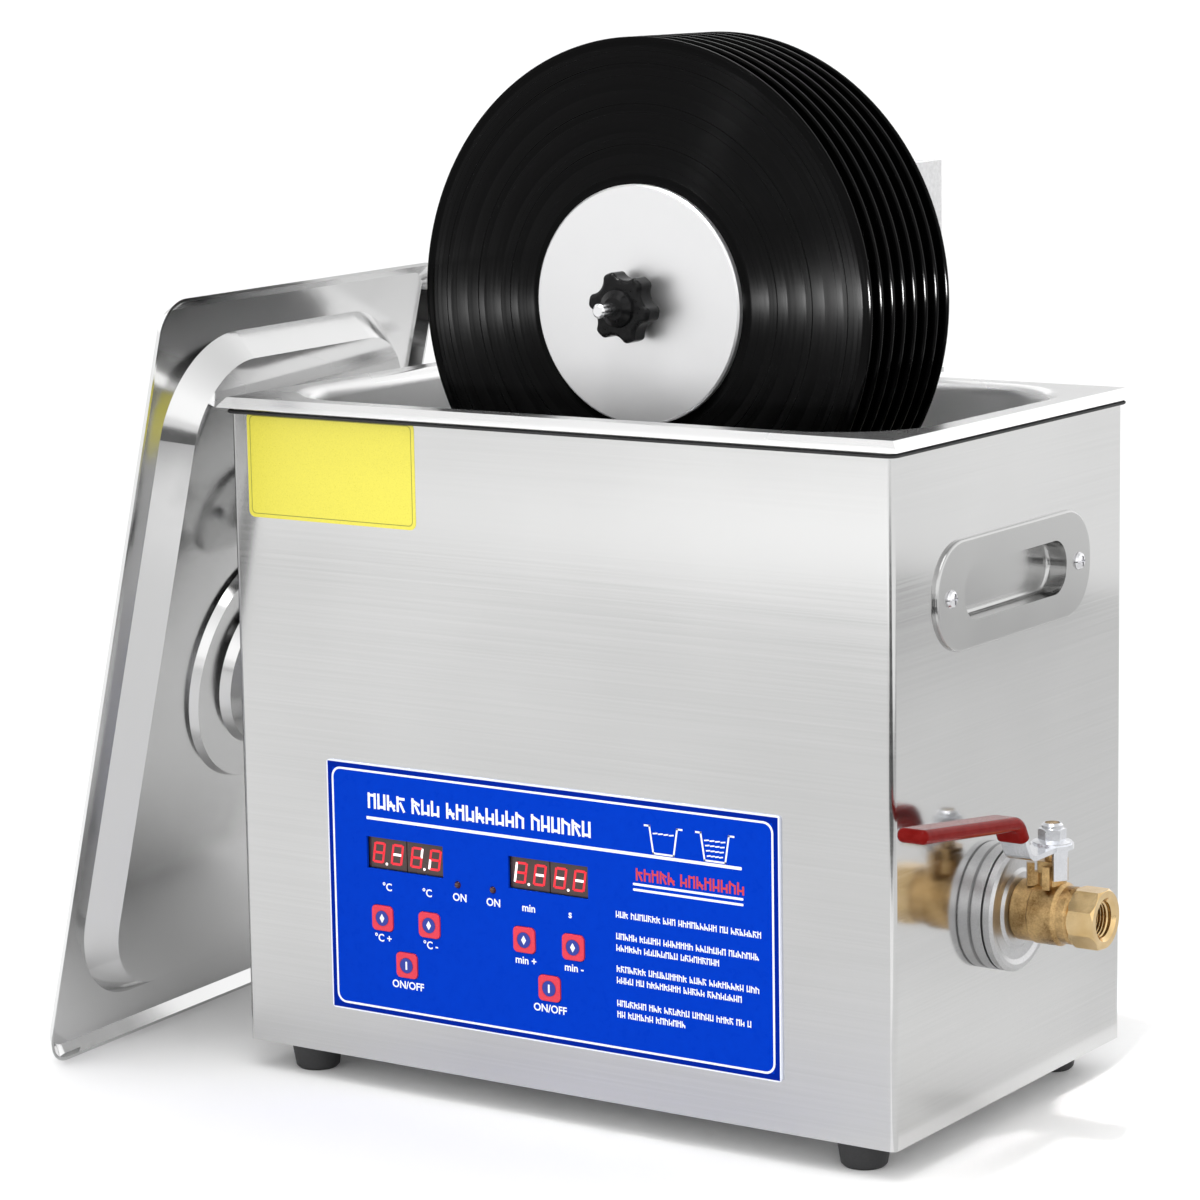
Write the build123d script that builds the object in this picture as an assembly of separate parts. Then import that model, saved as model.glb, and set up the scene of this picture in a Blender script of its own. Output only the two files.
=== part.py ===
from build123d import *
import math
import os

# Bench ultrasonic cleaner with a turning rack for records.
# Millimetres, +Z up. The front is -Y and the drain valve is on the +X side.
# Sizes below are measured from the middle of the four feet, on the floor. The finished
# pieces are then moved so that the origin lies under the middle of the whole outline.

# ---- clearances ----
seat_gap = 0.3          # between pieces of different bodies
running_gap = 0.05      # radial, shaft in its bore
screw_gap = 0.25        # radial, screw in a plain hole
slip_gap = 0.1          # radial, piece put over another of the same body

# ---- casing and feet ----
body_width = 325.0
body_depth = 195.0
casing_height = 281.6
sheet = 1.0
bend_radius = 2.5
bottom_flange = 34.0
foot_height = 13.0
foot_top_dia = 23.0
foot_bottom_dia = 19.0
foot_inset_x = 24.0
foot_inset_y = 17.0
foot_bore_dia = 10.0
foot_floor = 5.0
base_plate_thickness = 1.2
base_slot_length = 40.0
base_slot_width = 4.0
base_slot_pitch = 11.0
base_slot_count = 9
machine_screw_dia = 4.0
machine_head_dia = 8.0
machine_head_height = 2.6

# ---- tank ----
tank_sheet = 1.2
tank_margin = 12.5      # from the casing's outside to the tank's inside
tank_depth = 150.0
tank_corner = 39.5
tank_bottom_radius = 16.0
tank_draft = 0.8        # degrees
tank_roll = 5.5         # rounded edge between the rim and the walls
rim_overhang = 4.5      # of the rim's lower edge beyond the casing's walls
rim_slope = 3.5         # how far the turned edge leans out
rim_drop = 4.3
drain_x = 112.0

# ---- drain valve ----
valve_y = -11.3
valve_z = 94.8
drain_bore_dia = 13.0
drain_pipe_dia = 21.0
drain_bend = 20.0
nipple_dia = 16.4
collar_dia = 26.0
collar_width = 3.4
wall_flange_dia = 52.0
wall_flange_hub = 17.2
flange_back = 5.2
flange_rubber = 1.0
flange_front = 4.0
flange_rim = 3.0
flange_dish = 1.0
valve_length = 38.1     # from the outer flange to the mouth
valve_barrel_dia = 26.0
valve_barrel_length = 20.9
valve_step = 8.6        # from the outer flange to the seam of the body's halves
valve_step_rise = 0.5
valve_mouth_flats = 23.6    # across the octagon's flats
valve_mouth_length = 12.2   # of the octagon
valve_mouth_dia = 14.95
valve_mouth_depth = 12.0
valve_mouth_chamfer = 1.5
stem_offset = 13.8      # from the outer flange to the stem
stem_dia = 6.0
stem_flats = 4.4
tongue_width = 2.2
tongue_depth = 2.3
nipple_engagement = 3.3
ball_dia = 18.0
ball_bore_dia = 10.0
ball_chamber_gap = 0.6
seat_length = 4.0
stop_lug_width = 3.0
stop_lug_height = 6.0
stop_lug_reach = 4.2
stop_lug_rise = 3.5     # of the lug's outer part above the neck
cast_lug_angle = 214.0  # unused lug of the casting, seen from above
neck_dia = 12.0
neck_top = 17.5         # above the valve's axis
gland_hex = 12.0
gland_height = 4.7
lever_level = 27.0      # underside of the lever above the valve's axis
lever_width = 11.5
lever_thickness = 2.0
lever_hub_dia = 17.6
lever_reach = 115.5
lever_rise = 26.5       # of the tip above the hub
lever_bend = 7.0
crank_start = 28.0
crank_end = 37.0
crank_rise = 16.5
grip_start = 38.0       # along the lever's middle line, from the stem
grip_width = 13.5
grip_thickness = 5.8
tab_drop = 12.0
tab_width = 6.0
tab_gap = 1.0           # between the neck and the tab
tab_angle = -40.0       # the closed lever's tab, seen from above
quarter_turn = 90.0
lever_nut_hex = 10.0
lever_nut_height = 6.6
lever_collar_dia = 8.8  # rolled top of the nut, round its locking ring
lever_collar_height = 2.0
lever_flange_dia = 16.0
lever_flange_height = 1.8

# ---- side handles ----
handle_length = 131.0
handle_height = 45.0
handle_radius = 21.0
handle_plate = 1.8
handle_z = 228.0
grip_length = 87.0
grip_height = 22.5
grip_radius = 10.5
grip_depth = 7.5        # inside the casing's wall face
grip_bottom_radius = 2.0
grip_wall = 1.0
handle_screw_pitch = 109.0
tapping_screw_dia = 3.6
tapping_head_dia = 7.4
tapping_head_height = 2.0
tapping_length = 6.0

# ---- control panel ----
panel_width = 226.0
panel_height = 109.0
panel_x = -2.0
panel_z = 88.7
panel_thickness = 1.2
panel_corner = 1.5
window_margin = 7.0
left_group = -72.5      # middle of the temperature keys, from the panel's middle
right_group = 1.0       # middle of the time keys
key_pitch = 24.6
key_row = -11.8         # row of the + and - keys, from the panel's middle
switch_row = -30.9      # row of the on/off keys
key_size = 11.0
key_radius = 2.2
key_gap = 0.2
key_proud = 0.7
key_flange = 1.1
key_flange_depth = 1.0
key_travel = 0.8
key_dish = 0.25
display_row = 16.2
display_width = 39.6
display_height = 13.4
display_depth = 9.0
digit_gap = 0.5
lamp_row = 7.5
lamp_left = -45.1
lamp_right = -27.0
lamp_dia = 3.0
board_distance = 9.5    # from the panel's back to the board
board_thickness = 1.6
board_margin = 1.0
stud_dia = 5.0
stud_inset = 3.5
tact_size = 6.2
tact_height = 3.4
tact_plunger_dia = 3.4

# ---- ultrasonic transducers, heater and generator ----
transducer_xs = (-92.0, -22.0, 48.0)
horn_top_dia = 46.0
horn_foot_dia = 38.0
horn_height = 22.0
ring_thickness = 5.0
ring_dia = 38.0
ring_bore_dia = 15.0
tail_height = 16.0
transducer_bolt_hex = 13.0
transducer_bolt_head = 6.0
heater_length = 210.0
heater_height = 58.0
heater_thickness = 1.6
heater_z = 172.0
generator_width = 128.0
generator_depth = 92.0
generator_x = -80.0
generator_y = -12.0
boss_height = 8.0
boss_dia = 7.0
boss_inset = 6.0
transformer_size = (32.0, 28.0, 26.0)
transformer_place = (-38.0, -22.0)  # from the board's middle
choke_dia = 24.0
choke_bore_dia = 10.0
choke_height = 14.0
choke_place = (2.0, -26.0)
capacitor_dia = 16.0
capacitor_height = 24.0
capacitor_places = ((30.0, -30.0), (42.0, -8.0), (30.0, 14.0))
sink_length = 46.0
sink_thickness = 5.0
sink_height = 30.0
sink_place = (-30.0, 30.0)
fin_count = 6
fin_pitch = 8.0
fin_length = 9.5
fin_thickness = 2.0

# ---- back wall: fan, inlet, switch, fuse and louvres ----
fan_size = 60.0
fan_depth = 15.0
fan_bore_dia = 56.0
fan_x = 62.0
fan_z = 66.0
fan_screw_pitch = 50.0
fan_hub_dia = 27.0
fan_blades = 7
fan_pin_dia = 3.0
guard_wire = 1.6
guard_rings = (15.0, 21.0, 27.0)
inlet_x = -112.0
inlet_z = 48.0
inlet_flange_width = 50.0
inlet_flange_height = 23.0
inlet_screw_pitch = 40.0
inlet_body_width = 27.4
inlet_body_height = 19.6
inlet_wall = 1.6
inlet_depth = 17.0
inlet_flange = 2.4
switch_x = -66.0
switch_z = 48.0
switch_width = 15.0
switch_height = 21.0
switch_flange = 1.8
switch_rim = 1.6
switch_depth = 14.0
rocker_tilt = 8.0
rocker_pin_dia = 2.4
fuse_x = -36.0
fuse_z = 48.0
fuse_dia = 12.0
fuse_flange_dia = 15.5
fuse_flange = 2.0
fuse_depth = 22.0
fuse_cap_dia = 9.6
fuse_cap_proud = 4.0
louvre_count = 7
louvre_pitch = 9.0
louvre_width = 34.0
louvre_height = 3.4
louvre_x = -4.0
louvre_z = 88.0
small_screw_dia = 3.0
small_head_dia = 5.6
small_head_height = 2.0
small_screw_length = 7.0

# ---- record rack ----
rack_x = 5.0
spindle_z = 336.0
rack_inset = 36.0       # from the rim's back edge to the bracket's front face
rack_width = 120.0
rack_height = 92.7      # above the rim
bracket_sheet = 2.0
bracket_bend = 3.0
leg_width = 104.0
leg_clearance = 2.5     # behind the rim's edge
leg_drop = 38.0
clamp_pitch = 72.0
clamp_level = 24.0      # below the rim
clamp_screw_dia = 6.0
clamp_head_dia = 20.0
clamp_head_depth = 10.0
clamp_lobes = 8
cover_depth = 50.0
cover_sheet = 1.2
cover_tab = 10.0
motor_dia = 50.0
motor_depth = 20.0
gearbox_depth = 9.0
motor_ear_pitch = 60.0
motor_ear_width = 10.0
socket_dia = 8.0
socket_flange_dia = 11.0
socket_bore_dia = 5.6
socket_pin_dia = 2.0
socket_depth = 10.0
socket_x = 40.0
socket_z = 318.0
bush_dia = 18.0
bush_flange_dia = 24.0
bush_flange = 2.0
journal_dia = 10.0
tang_dia = 6.0
tang_length = 12.0
spindle_collar_dia = 16.0
spindle_collar = 3.0
record_dia = 221.0
record_hole_dia = 7.3
record_pitch = 9.0
record_count = 8
record_edge = 2.0       # thickness at the rim and at the label
record_web = 1.5        # thickness in the grooved zone
record_bead = 3.0
label_dia = 100.0
record_front_y = -32.0
clamp_disc = 3.2
clamp_disc_edge = 0.8
rear_disc = 3.0
rear_hub_dia = 22.0
knob_dia = 30.0
knob_lobes = 6
knob_lobe_angle = -10.0     # of the first lobe
knob_lobe_round = 2.2
knob_hollow_radius = 6.5    # of the hollows between the lobes
knob_hollow_depth = 3.2
knob_head_depth = 9.0
knob_boss_dia = 16.0
knob_boss_depth = 5.0
knob_hub_dia = 17.0
knob_hub_rise = 3.5
stud_proud = 11.0
stud_thread_dia = 6.0

# ---- lid, leaning on the rim's left edge ----
lid_length = 349.0
lid_breadth = 216.0
lid_sheet = 1.0
lid_corner = 14.5
lid_lip = 4.5           # how far the turned lip leans out, and how far it stands up
lid_bend_radius = 1.4
pan_length = 309.0
pan_breadth = 179.0
pan_corner = 44.0
pan_depth = 12.0
pan_slope = 9.0
ring_outer_radius = 55.0
ring_height = 4.0
ring_slope = 1.6
dish_radius = 38.0
dish_depth = 10.0
dish_round = 9.0
bar_length = 94.0
bar_width = 16.0
bar_thickness = 3.0
bar_arch = 6.0
lid_turn = 4.0          # degrees about the vertical
lid_foot_distance = 76.5    # from the casing's left wall to the lid's front corner
lid_foot_forward = 47.5     # from the casing's front wall to the same corner

# ---- places worked out from the sizes above ----
side_x = body_width / 2
front_y = -body_depth / 2
back_y = body_depth / 2
wall_top = foot_height + casing_height
rim_top = wall_top + tank_sheet
rim_length = body_width + 2 * rim_overhang
rim_breadth = body_depth + 2 * rim_overhang
tank_length = body_width - 2 * tank_margin
tank_breadth = body_depth - 2 * tank_margin
tank_floor = rim_top - tank_depth
tank_under = tank_floor - tank_sheet
base_top = foot_height + sheet + base_plate_thickness
foot_places = [
    (sx * (side_x - foot_inset_x), sy * (back_y - foot_inset_y))
    for sx in (-1, 1) for sy in (-1, 1)
]
flange_x = side_x + flange_back + flange_rubber + flange_front
valve_end_x = flange_x + valve_length
stem_x = flange_x + stem_offset
panel_back_y = front_y
panel_front_y = front_y - panel_thickness
board_front_y = panel_back_y + board_distance
key_back_y = panel_back_y + seat_gap + key_flange_depth
tact_top_y = key_back_y + key_travel + key_gap
stack_length = record_pitch * (record_count - 1) + record_edge
stack_back_y = record_front_y + stack_length
clamp_front_y = record_front_y - clamp_disc
knob_back_y = clamp_front_y - seat_gap
knob_front_y = knob_back_y - knob_boss_depth - knob_head_depth
stud_end_y = knob_front_y - knob_hub_rise - stud_proud
rack_front_y = rim_breadth / 2 - rack_inset
bracket_back_y = rack_front_y + bracket_sheet
bush_front_y = rack_front_y - bush_flange
collar_back_y = bush_front_y - seat_gap
leg_front_y = rim_breadth / 2 + leg_clearance
leg_back_y = leg_front_y + bracket_sheet
clamp_z = rim_top - clamp_level
rack_top = rim_top + rack_height

MIDDLE = (Align.CENTER, Align.CENTER, Align.CENTER)
ON_BASE = (Align.CENTER, Align.CENTER, Align.MIN)


# ---- small helpers ----
def block(size, centre):
    """Box of the given size about the given centre."""
    return Pos(*centre) * Box(*size, align=MIDDLE)


def slab(length, breadth, height, centre, z):
    """Box standing on z, centred on (x, y)."""
    return Pos(centre[0], centre[1], z) * Box(length, breadth, height, align=ON_BASE)


def rod_x(radius, x0, x1, y, z):
    """Round bar along X."""
    return Pos(x0, y, z) * Rot(0, 90, 0) * Cylinder(radius, x1 - x0, align=ON_BASE)


def rod_y(radius, x, y0, y1, z):
    """Round bar along Y."""
    return Pos(x, y0, z) * Rot(-90, 0, 0) * Cylinder(radius, y1 - y0, align=ON_BASE)


def rod_z(radius, x, y, z0, z1):
    """Round bar along Z."""
    return Pos(x, y, z0) * Cylinder(radius, z1 - z0, align=ON_BASE)


def hex_z(flats, x, y, z0, z1):
    """Hexagonal bar along Z, given across its flats."""
    return Pos(x, y, z0) * extrude(RegularPolygon(flats / math.sqrt(3), 6), z1 - z0)


def plate_y(sketch, x, y0, y1, z):
    """Sketch in X and Z, as a plate from y0 to y1."""
    plane = Plane(origin=(x, y0, z), x_dir=(1, 0, 0), z_dir=(0, -1, 0))
    return extrude(plane * sketch, y1 - y0, dir=(0, 1, 0))


def plate_x(sketch, side, x0, x1, y, z):
    """Sketch in Y and Z, as a plate from x0 to x1 on the given side."""
    plane = Plane(origin=(side * x0, y, z), x_dir=(0, 1, 0), z_dir=(1, 0, 0))
    return extrude(plane * sketch, x1 - x0, dir=(side, 0, 0))


def turned_x(points, y, z):
    """Turned solid about X from (x, radius) points."""
    return Pos(0, y, z) * revolve(Polygon(*points, align=None), Axis.X)


def turned_y(points, x, z):
    """Turned solid about Y from (radius, y) points."""
    return Pos(x, 0, z) * revolve(Polygon(*points, align=None), Axis.Y)


def turned_z(points, x, y):
    """Turned solid about Z from (radius, z) points."""
    return Pos(x, y, 0) * revolve(Plane.XZ * Polygon(*points, align=None), Axis.Z)


def group(solids):
    """Several separate solids that share one node."""
    return Compound(children=list(solids))


def pan_screw_y(x, z, y_seat, way, head_dia, head_height, shank_dia, length):
    """Round-headed screw along Y with its head on y_seat, pointing the given way."""
    half = head_dia / 2
    lift = -way * head_height
    outline = [
        (0, y_seat + lift),
        (half * 0.55, y_seat + lift),
        (half * 0.9, y_seat + lift * 0.6),
        (half, y_seat + lift * 0.2),
        (half, y_seat),
        (shank_dia / 2, y_seat),
        (shank_dia / 2, y_seat + way * length),
        (0, y_seat + way * length),
    ]
    slot_depth = head_height * 0.45
    slot = block((head_dia * 0.7, slot_depth * 2, head_dia * 0.16), (x, y_seat + lift, z))
    cross = block((head_dia * 0.16, slot_depth * 2, head_dia * 0.7), (x, y_seat + lift, z))
    return turned_y(outline, x, z) - slot - cross


# ---- casing, base and feet ----
def casing():
    """Folded sheet-steel wrap with a return flange along its bottom edge."""
    outer = extrude(RectangleRounded(body_width, body_depth, bend_radius), casing_height)
    hollow = extrude(
        RectangleRounded(body_width - 2 * sheet, body_depth - 2 * sheet, bend_radius - sheet),
        casing_height,
    )
    mouth = extrude(
        RectangleRounded(body_width - 2 * bottom_flange, body_depth - 2 * bottom_flange, 6.0),
        sheet,
    )
    shell = Pos(0, 0, foot_height) * (outer - Pos(0, 0, sheet) * hollow - mouth)
    cuts = [panel_window(), drain_hole(), fan_hole(), inlet_hole(), switch_hole(), fuse_hole()]
    cuts += [handle_hole(side) for side in (-1, 1)]
    cuts += louvre_slots()
    cuts += [
        rod_z(machine_screw_dia / 2 + screw_gap, x, y, foot_height - 1, base_top)
        for x, y in foot_places
    ]
    cuts += [
        rod_y(small_screw_dia / 2 + slip_gap, x, back_y - sheet - 1, back_y + 1, z)
        for x, z in fan_screw_places() + inlet_screw_places()
    ]
    cuts += [
        rod_x(tapping_screw_dia / 2 + slip_gap, side * side_x - 2, side * side_x + 2, y, handle_z)
        for side in (-1, 1) for y in (-handle_screw_pitch / 2, handle_screw_pitch / 2)
    ]
    for cut in cuts:
        shell -= cut
    for x, z in board_stud_places():
        shell += rod_y(stud_dia / 2, x, front_y + sheet, board_front_y, z)
    return shell


def panel_window():
    """Cut-out behind the control panel."""
    opening = Rectangle(panel_width - 2 * window_margin, panel_height - 2 * window_margin)
    return plate_y(opening, panel_x, front_y - 1, front_y + sheet + 1, panel_z)


def board_stud_places():
    """Weld studs that carry the control board, at the panel's corners."""
    across = panel_width / 2 - stud_inset
    up = panel_height / 2 - stud_inset
    return [(panel_x + sx * across, panel_z + sz * up) for sx in (-1, 1) for sz in (-1, 1)]


def handle_hole(side):
    """Side cut-out that takes a handle's cup."""
    cup = RectangleRounded(
        grip_length + 2 * (grip_wall + slip_gap),
        grip_height + 2 * (grip_wall + slip_gap),
        grip_radius + grip_wall + slip_gap,
    )
    return plate_x(cup, side, side_x - sheet - 1, side_x + 1, 0, handle_z)


def drain_hole():
    """Hole in the right wall for the drain nipple."""
    return rod_x(nipple_dia / 2 + screw_gap, side_x - sheet - 1, side_x + 1, valve_y, valve_z)


def fan_hole():
    """Round air opening in the back wall."""
    return rod_y(fan_bore_dia / 2, fan_x, back_y - sheet - 1, back_y + 1, fan_z)


def inlet_hole():
    """Rectangular cut-out for the mains inlet."""
    opening = Rectangle(inlet_body_width + 2 * slip_gap, inlet_body_height + 2 * slip_gap)
    return plate_y(opening, inlet_x, back_y - sheet - 1, back_y + 1, inlet_z)


def switch_hole():
    """Rectangular cut-out for the mains switch."""
    opening = Rectangle(
        switch_width - 2 * switch_rim + 2 * slip_gap,
        switch_height - 2 * switch_rim + 2 * slip_gap,
    )
    return plate_y(opening, switch_x, back_y - sheet - 1, back_y + 1, switch_z)


def fuse_hole():
    """Round hole for the fuse holder."""
    return rod_y(fuse_dia / 2 + slip_gap, fuse_x, back_y - sheet - 1, back_y + 1, fuse_z)


def louvre_slots():
    """Row of air slots beside the fan."""
    slot = SlotOverall(louvre_width, louvre_height)
    middle = (louvre_count - 1) / 2
    return [
        plate_y(slot, louvre_x, back_y - sheet - 1, back_y + 1,
                louvre_z + (i - middle) * louvre_pitch)
        for i in range(louvre_count)
    ]


def base_plate():
    """Ventilated plate on the casing's return flange, with pressed board bosses."""
    outline = RectangleRounded(
        body_width - 2 * (sheet + seat_gap), body_depth - 2 * (sheet + seat_gap), bend_radius
    )
    plate = Pos(0, 0, foot_height + sheet) * extrude(outline, base_plate_thickness)
    slot = SlotOverall(base_slot_length, base_slot_width)
    middle = (base_slot_count - 1) / 2
    for side in (-1, 1):
        for i in range(base_slot_count):
            place = Pos(side * base_slot_length, (i - middle) * base_slot_pitch, foot_height)
            plate -= place * extrude(slot, base_top)
    for x, y in foot_places:
        plate -= rod_z(machine_screw_dia / 2 + screw_gap, x, y, foot_height, base_top + 1)
    for x, y in board_boss_places():
        plate += rod_z(boss_dia / 2, x, y, base_top - base_plate_thickness / 2,
                       base_top + boss_height)
    return plate


def board_boss_places():
    """Bosses under the generator board's corners."""
    across = generator_width / 2 - boss_inset
    along = generator_depth / 2 - boss_inset
    return [
        (generator_x + sx * across, generator_y + sy * along)
        for sx in (-1, 1) for sy in (-1, 1)
    ]


def foot(x, y):
    """Tapered rubber foot with a deep screw recess."""
    outline = [
        (foot_bore_dia / 2, 0),
        (foot_bottom_dia / 2 - 1.2, 0),
        (foot_bottom_dia / 2, 1.2),
        (foot_top_dia / 2, foot_height),
        (machine_screw_dia / 2 + slip_gap, foot_height),
        (machine_screw_dia / 2 + slip_gap, foot_height - foot_floor),
        (foot_bore_dia / 2, foot_height - foot_floor),
    ]
    return turned_z(outline, x, y)


def foot_screw(x, y):
    """Screw up through a foot, the flange and the base plate, with its nut."""
    seat = foot_height - foot_floor
    outline = [
        (0, seat - machine_head_height),
        (machine_head_dia * 0.3, seat - machine_head_height),
        (machine_head_dia / 2, seat - machine_head_height * 0.4),
        (machine_head_dia / 2, seat),
        (machine_screw_dia / 2, seat),
        (machine_screw_dia / 2, base_top + 5.0),
        (0, base_top + 5.0),
    ]
    screw = turned_z(outline, x, y)
    slot = block((machine_head_dia * 0.7, 1.0, 2.0), (x, y, seat - machine_head_height))
    nut = hex_z(7.0, x, y, base_top, base_top + 3.2)
    return screw - slot + nut


# ---- tank and drain ----
def tub(growth, depth):
    """Rounded, drafted tub body below the rim's level, grown outwards on each side."""
    mouth = RectangleRounded(
        tank_length + 2 * growth, tank_breadth + 2 * growth, tank_corner + growth
    )
    body = extrude(mouth, -depth, taper=tank_draft)
    floor_edges = body.faces().sort_by(Axis.Z)[0].edges()
    return fillet(floor_edges, tank_bottom_radius + growth)


def rim_wedge(inset):
    """Four-sided wedge that follows the rim's leaning edge, set in by the given amount."""
    low = Pos(0, 0, -rim_drop) * Rectangle(rim_length - 2 * inset, rim_breadth - 2 * inset)
    high = Rectangle(
        rim_length - 2 * (inset + rim_slope), rim_breadth - 2 * (inset + rim_slope)
    )
    return loft([low, high])


def tank():
    """Deep-drawn tank with a flat rim, a rolled mouth and a leaning turned edge."""
    deck = slab(
        rim_length - 2 * rim_slope, rim_breadth - 2 * rim_slope, tank_sheet,
        (0, 0), -tank_sheet,
    )
    shell = deck + tub(tank_sheet, tank_depth + tank_sheet)
    under = shell.edges().filter_by_position(Axis.Z, -tank_sheet - 0.01, -tank_sheet + 0.01)
    under = under.filter_by(lambda e: abs(e.center().X) < tank_length / 2 + 2 * tank_sheet)
    under = under.filter_by(lambda e: abs(e.center().Y) < tank_breadth / 2 + 2 * tank_sheet)
    shell = fillet(under, tank_roll - tank_sheet)
    shell -= tub(0, tank_depth)
    mouth = shell.edges().filter_by_position(Axis.Z, -0.01, 0.01)
    mouth = mouth.filter_by(lambda e: abs(e.center().X) < tank_length / 2 + tank_sheet)
    mouth = mouth.filter_by(lambda e: abs(e.center().Y) < tank_breadth / 2 + tank_sheet)
    shell = fillet(mouth, tank_roll)
    turned_edge = rim_wedge(0) - rim_wedge(1.3)
    shell = Pos(0, 0, rim_top) * (shell + turned_edge)
    return shell - rod_z(drain_shank_radius() + slip_gap, drain_x, valve_y,
                         tank_under - 1, tank_floor + 1)


def drain_shank_radius():
    """Outside radius of the threaded shank of the tank's outlet."""
    return drain_bore_dia / 2 + 2.6


def tank_drain():
    """Flanged outlet seated on the tank's floor, with a cross-bar strainer."""
    flange_radius = drain_shank_radius() + 7.0
    outline = [
        (drain_bore_dia / 2, tank_floor + 2.2),
        (flange_radius - 1.2, tank_floor + 2.2),
        (flange_radius, tank_floor + 1.0),
        (flange_radius, tank_floor),
        (drain_shank_radius(), tank_floor),
        (drain_shank_radius(), tank_under - 18.0),
        (drain_bore_dia / 2, tank_under - 18.0),
    ]
    outlet = turned_z(outline, drain_x, valve_y)
    for angle in (0, 90):
        bar = Pos(drain_x, valve_y, tank_floor) * Rot(0, 0, angle)
        outlet += bar * Box(drain_bore_dia + 1, 1.6, 1.6, align=ON_BASE)
    return outlet


def drain_nut():
    """Lock nut that pulls the outlet against the tank's underside."""
    nut = hex_z(29.0, drain_x, valve_y, tank_under - 8.0, tank_under)
    return nut - rod_z(drain_shank_radius() + slip_gap, drain_x, valve_y,
                       tank_under - 9, tank_under + 1)


def drain_pipe(radius, top_z, end_x):
    """Round pipe body from under the tank, round one bend and out towards the wall."""
    bend_z = valve_z + drain_bend
    down = rod_z(radius, drain_x, valve_y, bend_z, top_z)
    pivot = Axis((drain_x + drain_bend, valve_y, bend_z), (0, -1, 0))
    turn = revolve(Pos(drain_x, valve_y, bend_z) * Circle(radius), pivot, 90)
    out = rod_x(radius, drain_x + drain_bend, end_x, valve_y, valve_z)
    return down + turn + out


def drain_elbow():
    """Brass elbow from the tank's outlet to the nipple that crosses the wall."""
    socket_bottom = tank_under - 18.0
    socket_top = tank_under - 9.0
    collar_x = side_x - sheet - collar_width
    body = drain_pipe(drain_pipe_dia / 2, socket_bottom, collar_x)
    body += rod_z(drain_shank_radius() + 2.4, drain_x, valve_y, socket_bottom - 4, socket_top)
    body += rod_x(collar_dia / 2, collar_x, side_x - sheet, valve_y, valve_z)
    body += rod_x(nipple_dia / 2, collar_x, flange_x + nipple_engagement, valve_y, valve_z)
    body -= rod_z(drain_shank_radius() + slip_gap, drain_x, valve_y, socket_bottom, socket_top + 1)
    body -= drain_pipe(drain_bore_dia / 2, socket_bottom, collar_x)
    return body - rod_x(drain_bore_dia / 2, collar_x - 1, flange_x + 7, valve_y, valve_z)


# ---- drain valve ----
def wall_flanges():
    """Two zinc discs clamped on the wall, the outer one dished inside its rim."""
    hub = wall_flange_hub / 2
    outer = wall_flange_dia / 2
    back = [
        (side_x, hub), (side_x, outer - 0.8), (side_x + 0.8, outer),
        (side_x + flange_back, outer), (side_x + flange_back, hub),
    ]
    start = flange_x - flange_front
    front = [
        (start, hub), (start, outer), (flange_x - 1.2, outer), (flange_x, outer - 1.2),
        (flange_x, outer - flange_rim), (flange_x - flange_dish, outer - flange_rim - 2.0),
        (flange_x - flange_dish, hub + 8.0), (flange_x, hub + 6.5), (flange_x, hub),
    ]
    return group([turned_x(back, valve_y, valve_z), turned_x(front, valve_y, valve_z)])


def flange_gasket():
    """Rubber ring between the two flange discs."""
    x0 = side_x + flange_back
    ring = rod_x(wall_flange_dia / 2 - 1.2, x0, x0 + flange_rubber, valve_y, valve_z)
    return ring - rod_x(wall_flange_hub / 2, x0 - 1, x0 + flange_rubber + 1, valve_y, valve_z)


def ball_chamber_radius():
    """Radius of the hollow round the ball."""
    return ball_dia / 2 + ball_chamber_gap


def ball_chamber_half():
    """Half of the hollow's length, up to the seats' backs."""
    return ball_bore_dia / 2 + seat_length


def valve_body():
    """Brass two-piece body: stepped barrel, octagonal mouth, stem neck and stop lugs."""
    barrel = valve_barrel_dia / 2
    step_x = flange_x + valve_step
    shoulder_x = flange_x + valve_barrel_length
    mouth_x = valve_end_x - valve_mouth_length
    body = turned_x([
        (flange_x, 0), (flange_x, barrel - valve_step_rise - 1.0),
        (flange_x + 1.0, barrel - valve_step_rise), (step_x - 0.3, barrel - valve_step_rise),
        (step_x + 0.3, barrel), (shoulder_x - 1.5, barrel), (shoulder_x, barrel - 1.2),
        (mouth_x - 1.5, barrel - 1.2), (mouth_x - 0.5, barrel - 2.0),
        (mouth_x + 1.0, barrel - 2.0), (mouth_x + 1.0, 0),
    ], valve_y, valve_z)
    body += octagonal_mouth(mouth_x)
    body += rod_z(neck_dia / 2, stem_x, valve_y, valve_z, valve_z + neck_top)
    for angle in lug_angles():
        body += stop_lug(angle)
    body -= rod_x(nipple_dia / 2 + slip_gap, flange_x - 1, flange_x + nipple_engagement,
                  valve_y, valve_z)
    body -= rod_x(ball_bore_dia / 2, flange_x, valve_end_x, valve_y, valve_z)
    body -= turned_x([
        (valve_end_x - valve_mouth_depth, 0),
        (valve_end_x - valve_mouth_depth, valve_mouth_dia / 2),
        (valve_end_x - valve_mouth_chamfer, valve_mouth_dia / 2),
        (valve_end_x + 1, valve_mouth_dia / 2 + valve_mouth_chamfer + 1), (valve_end_x + 1, 0),
    ], valve_y, valve_z)
    body -= rod_x(ball_chamber_radius(), stem_x - ball_chamber_half(),
                  stem_x + ball_chamber_half(), valve_y, valve_z)
    return body - rod_z(stem_dia / 2 + running_gap, stem_x, valve_y, valve_z,
                        valve_z + neck_top + 1)


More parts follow.
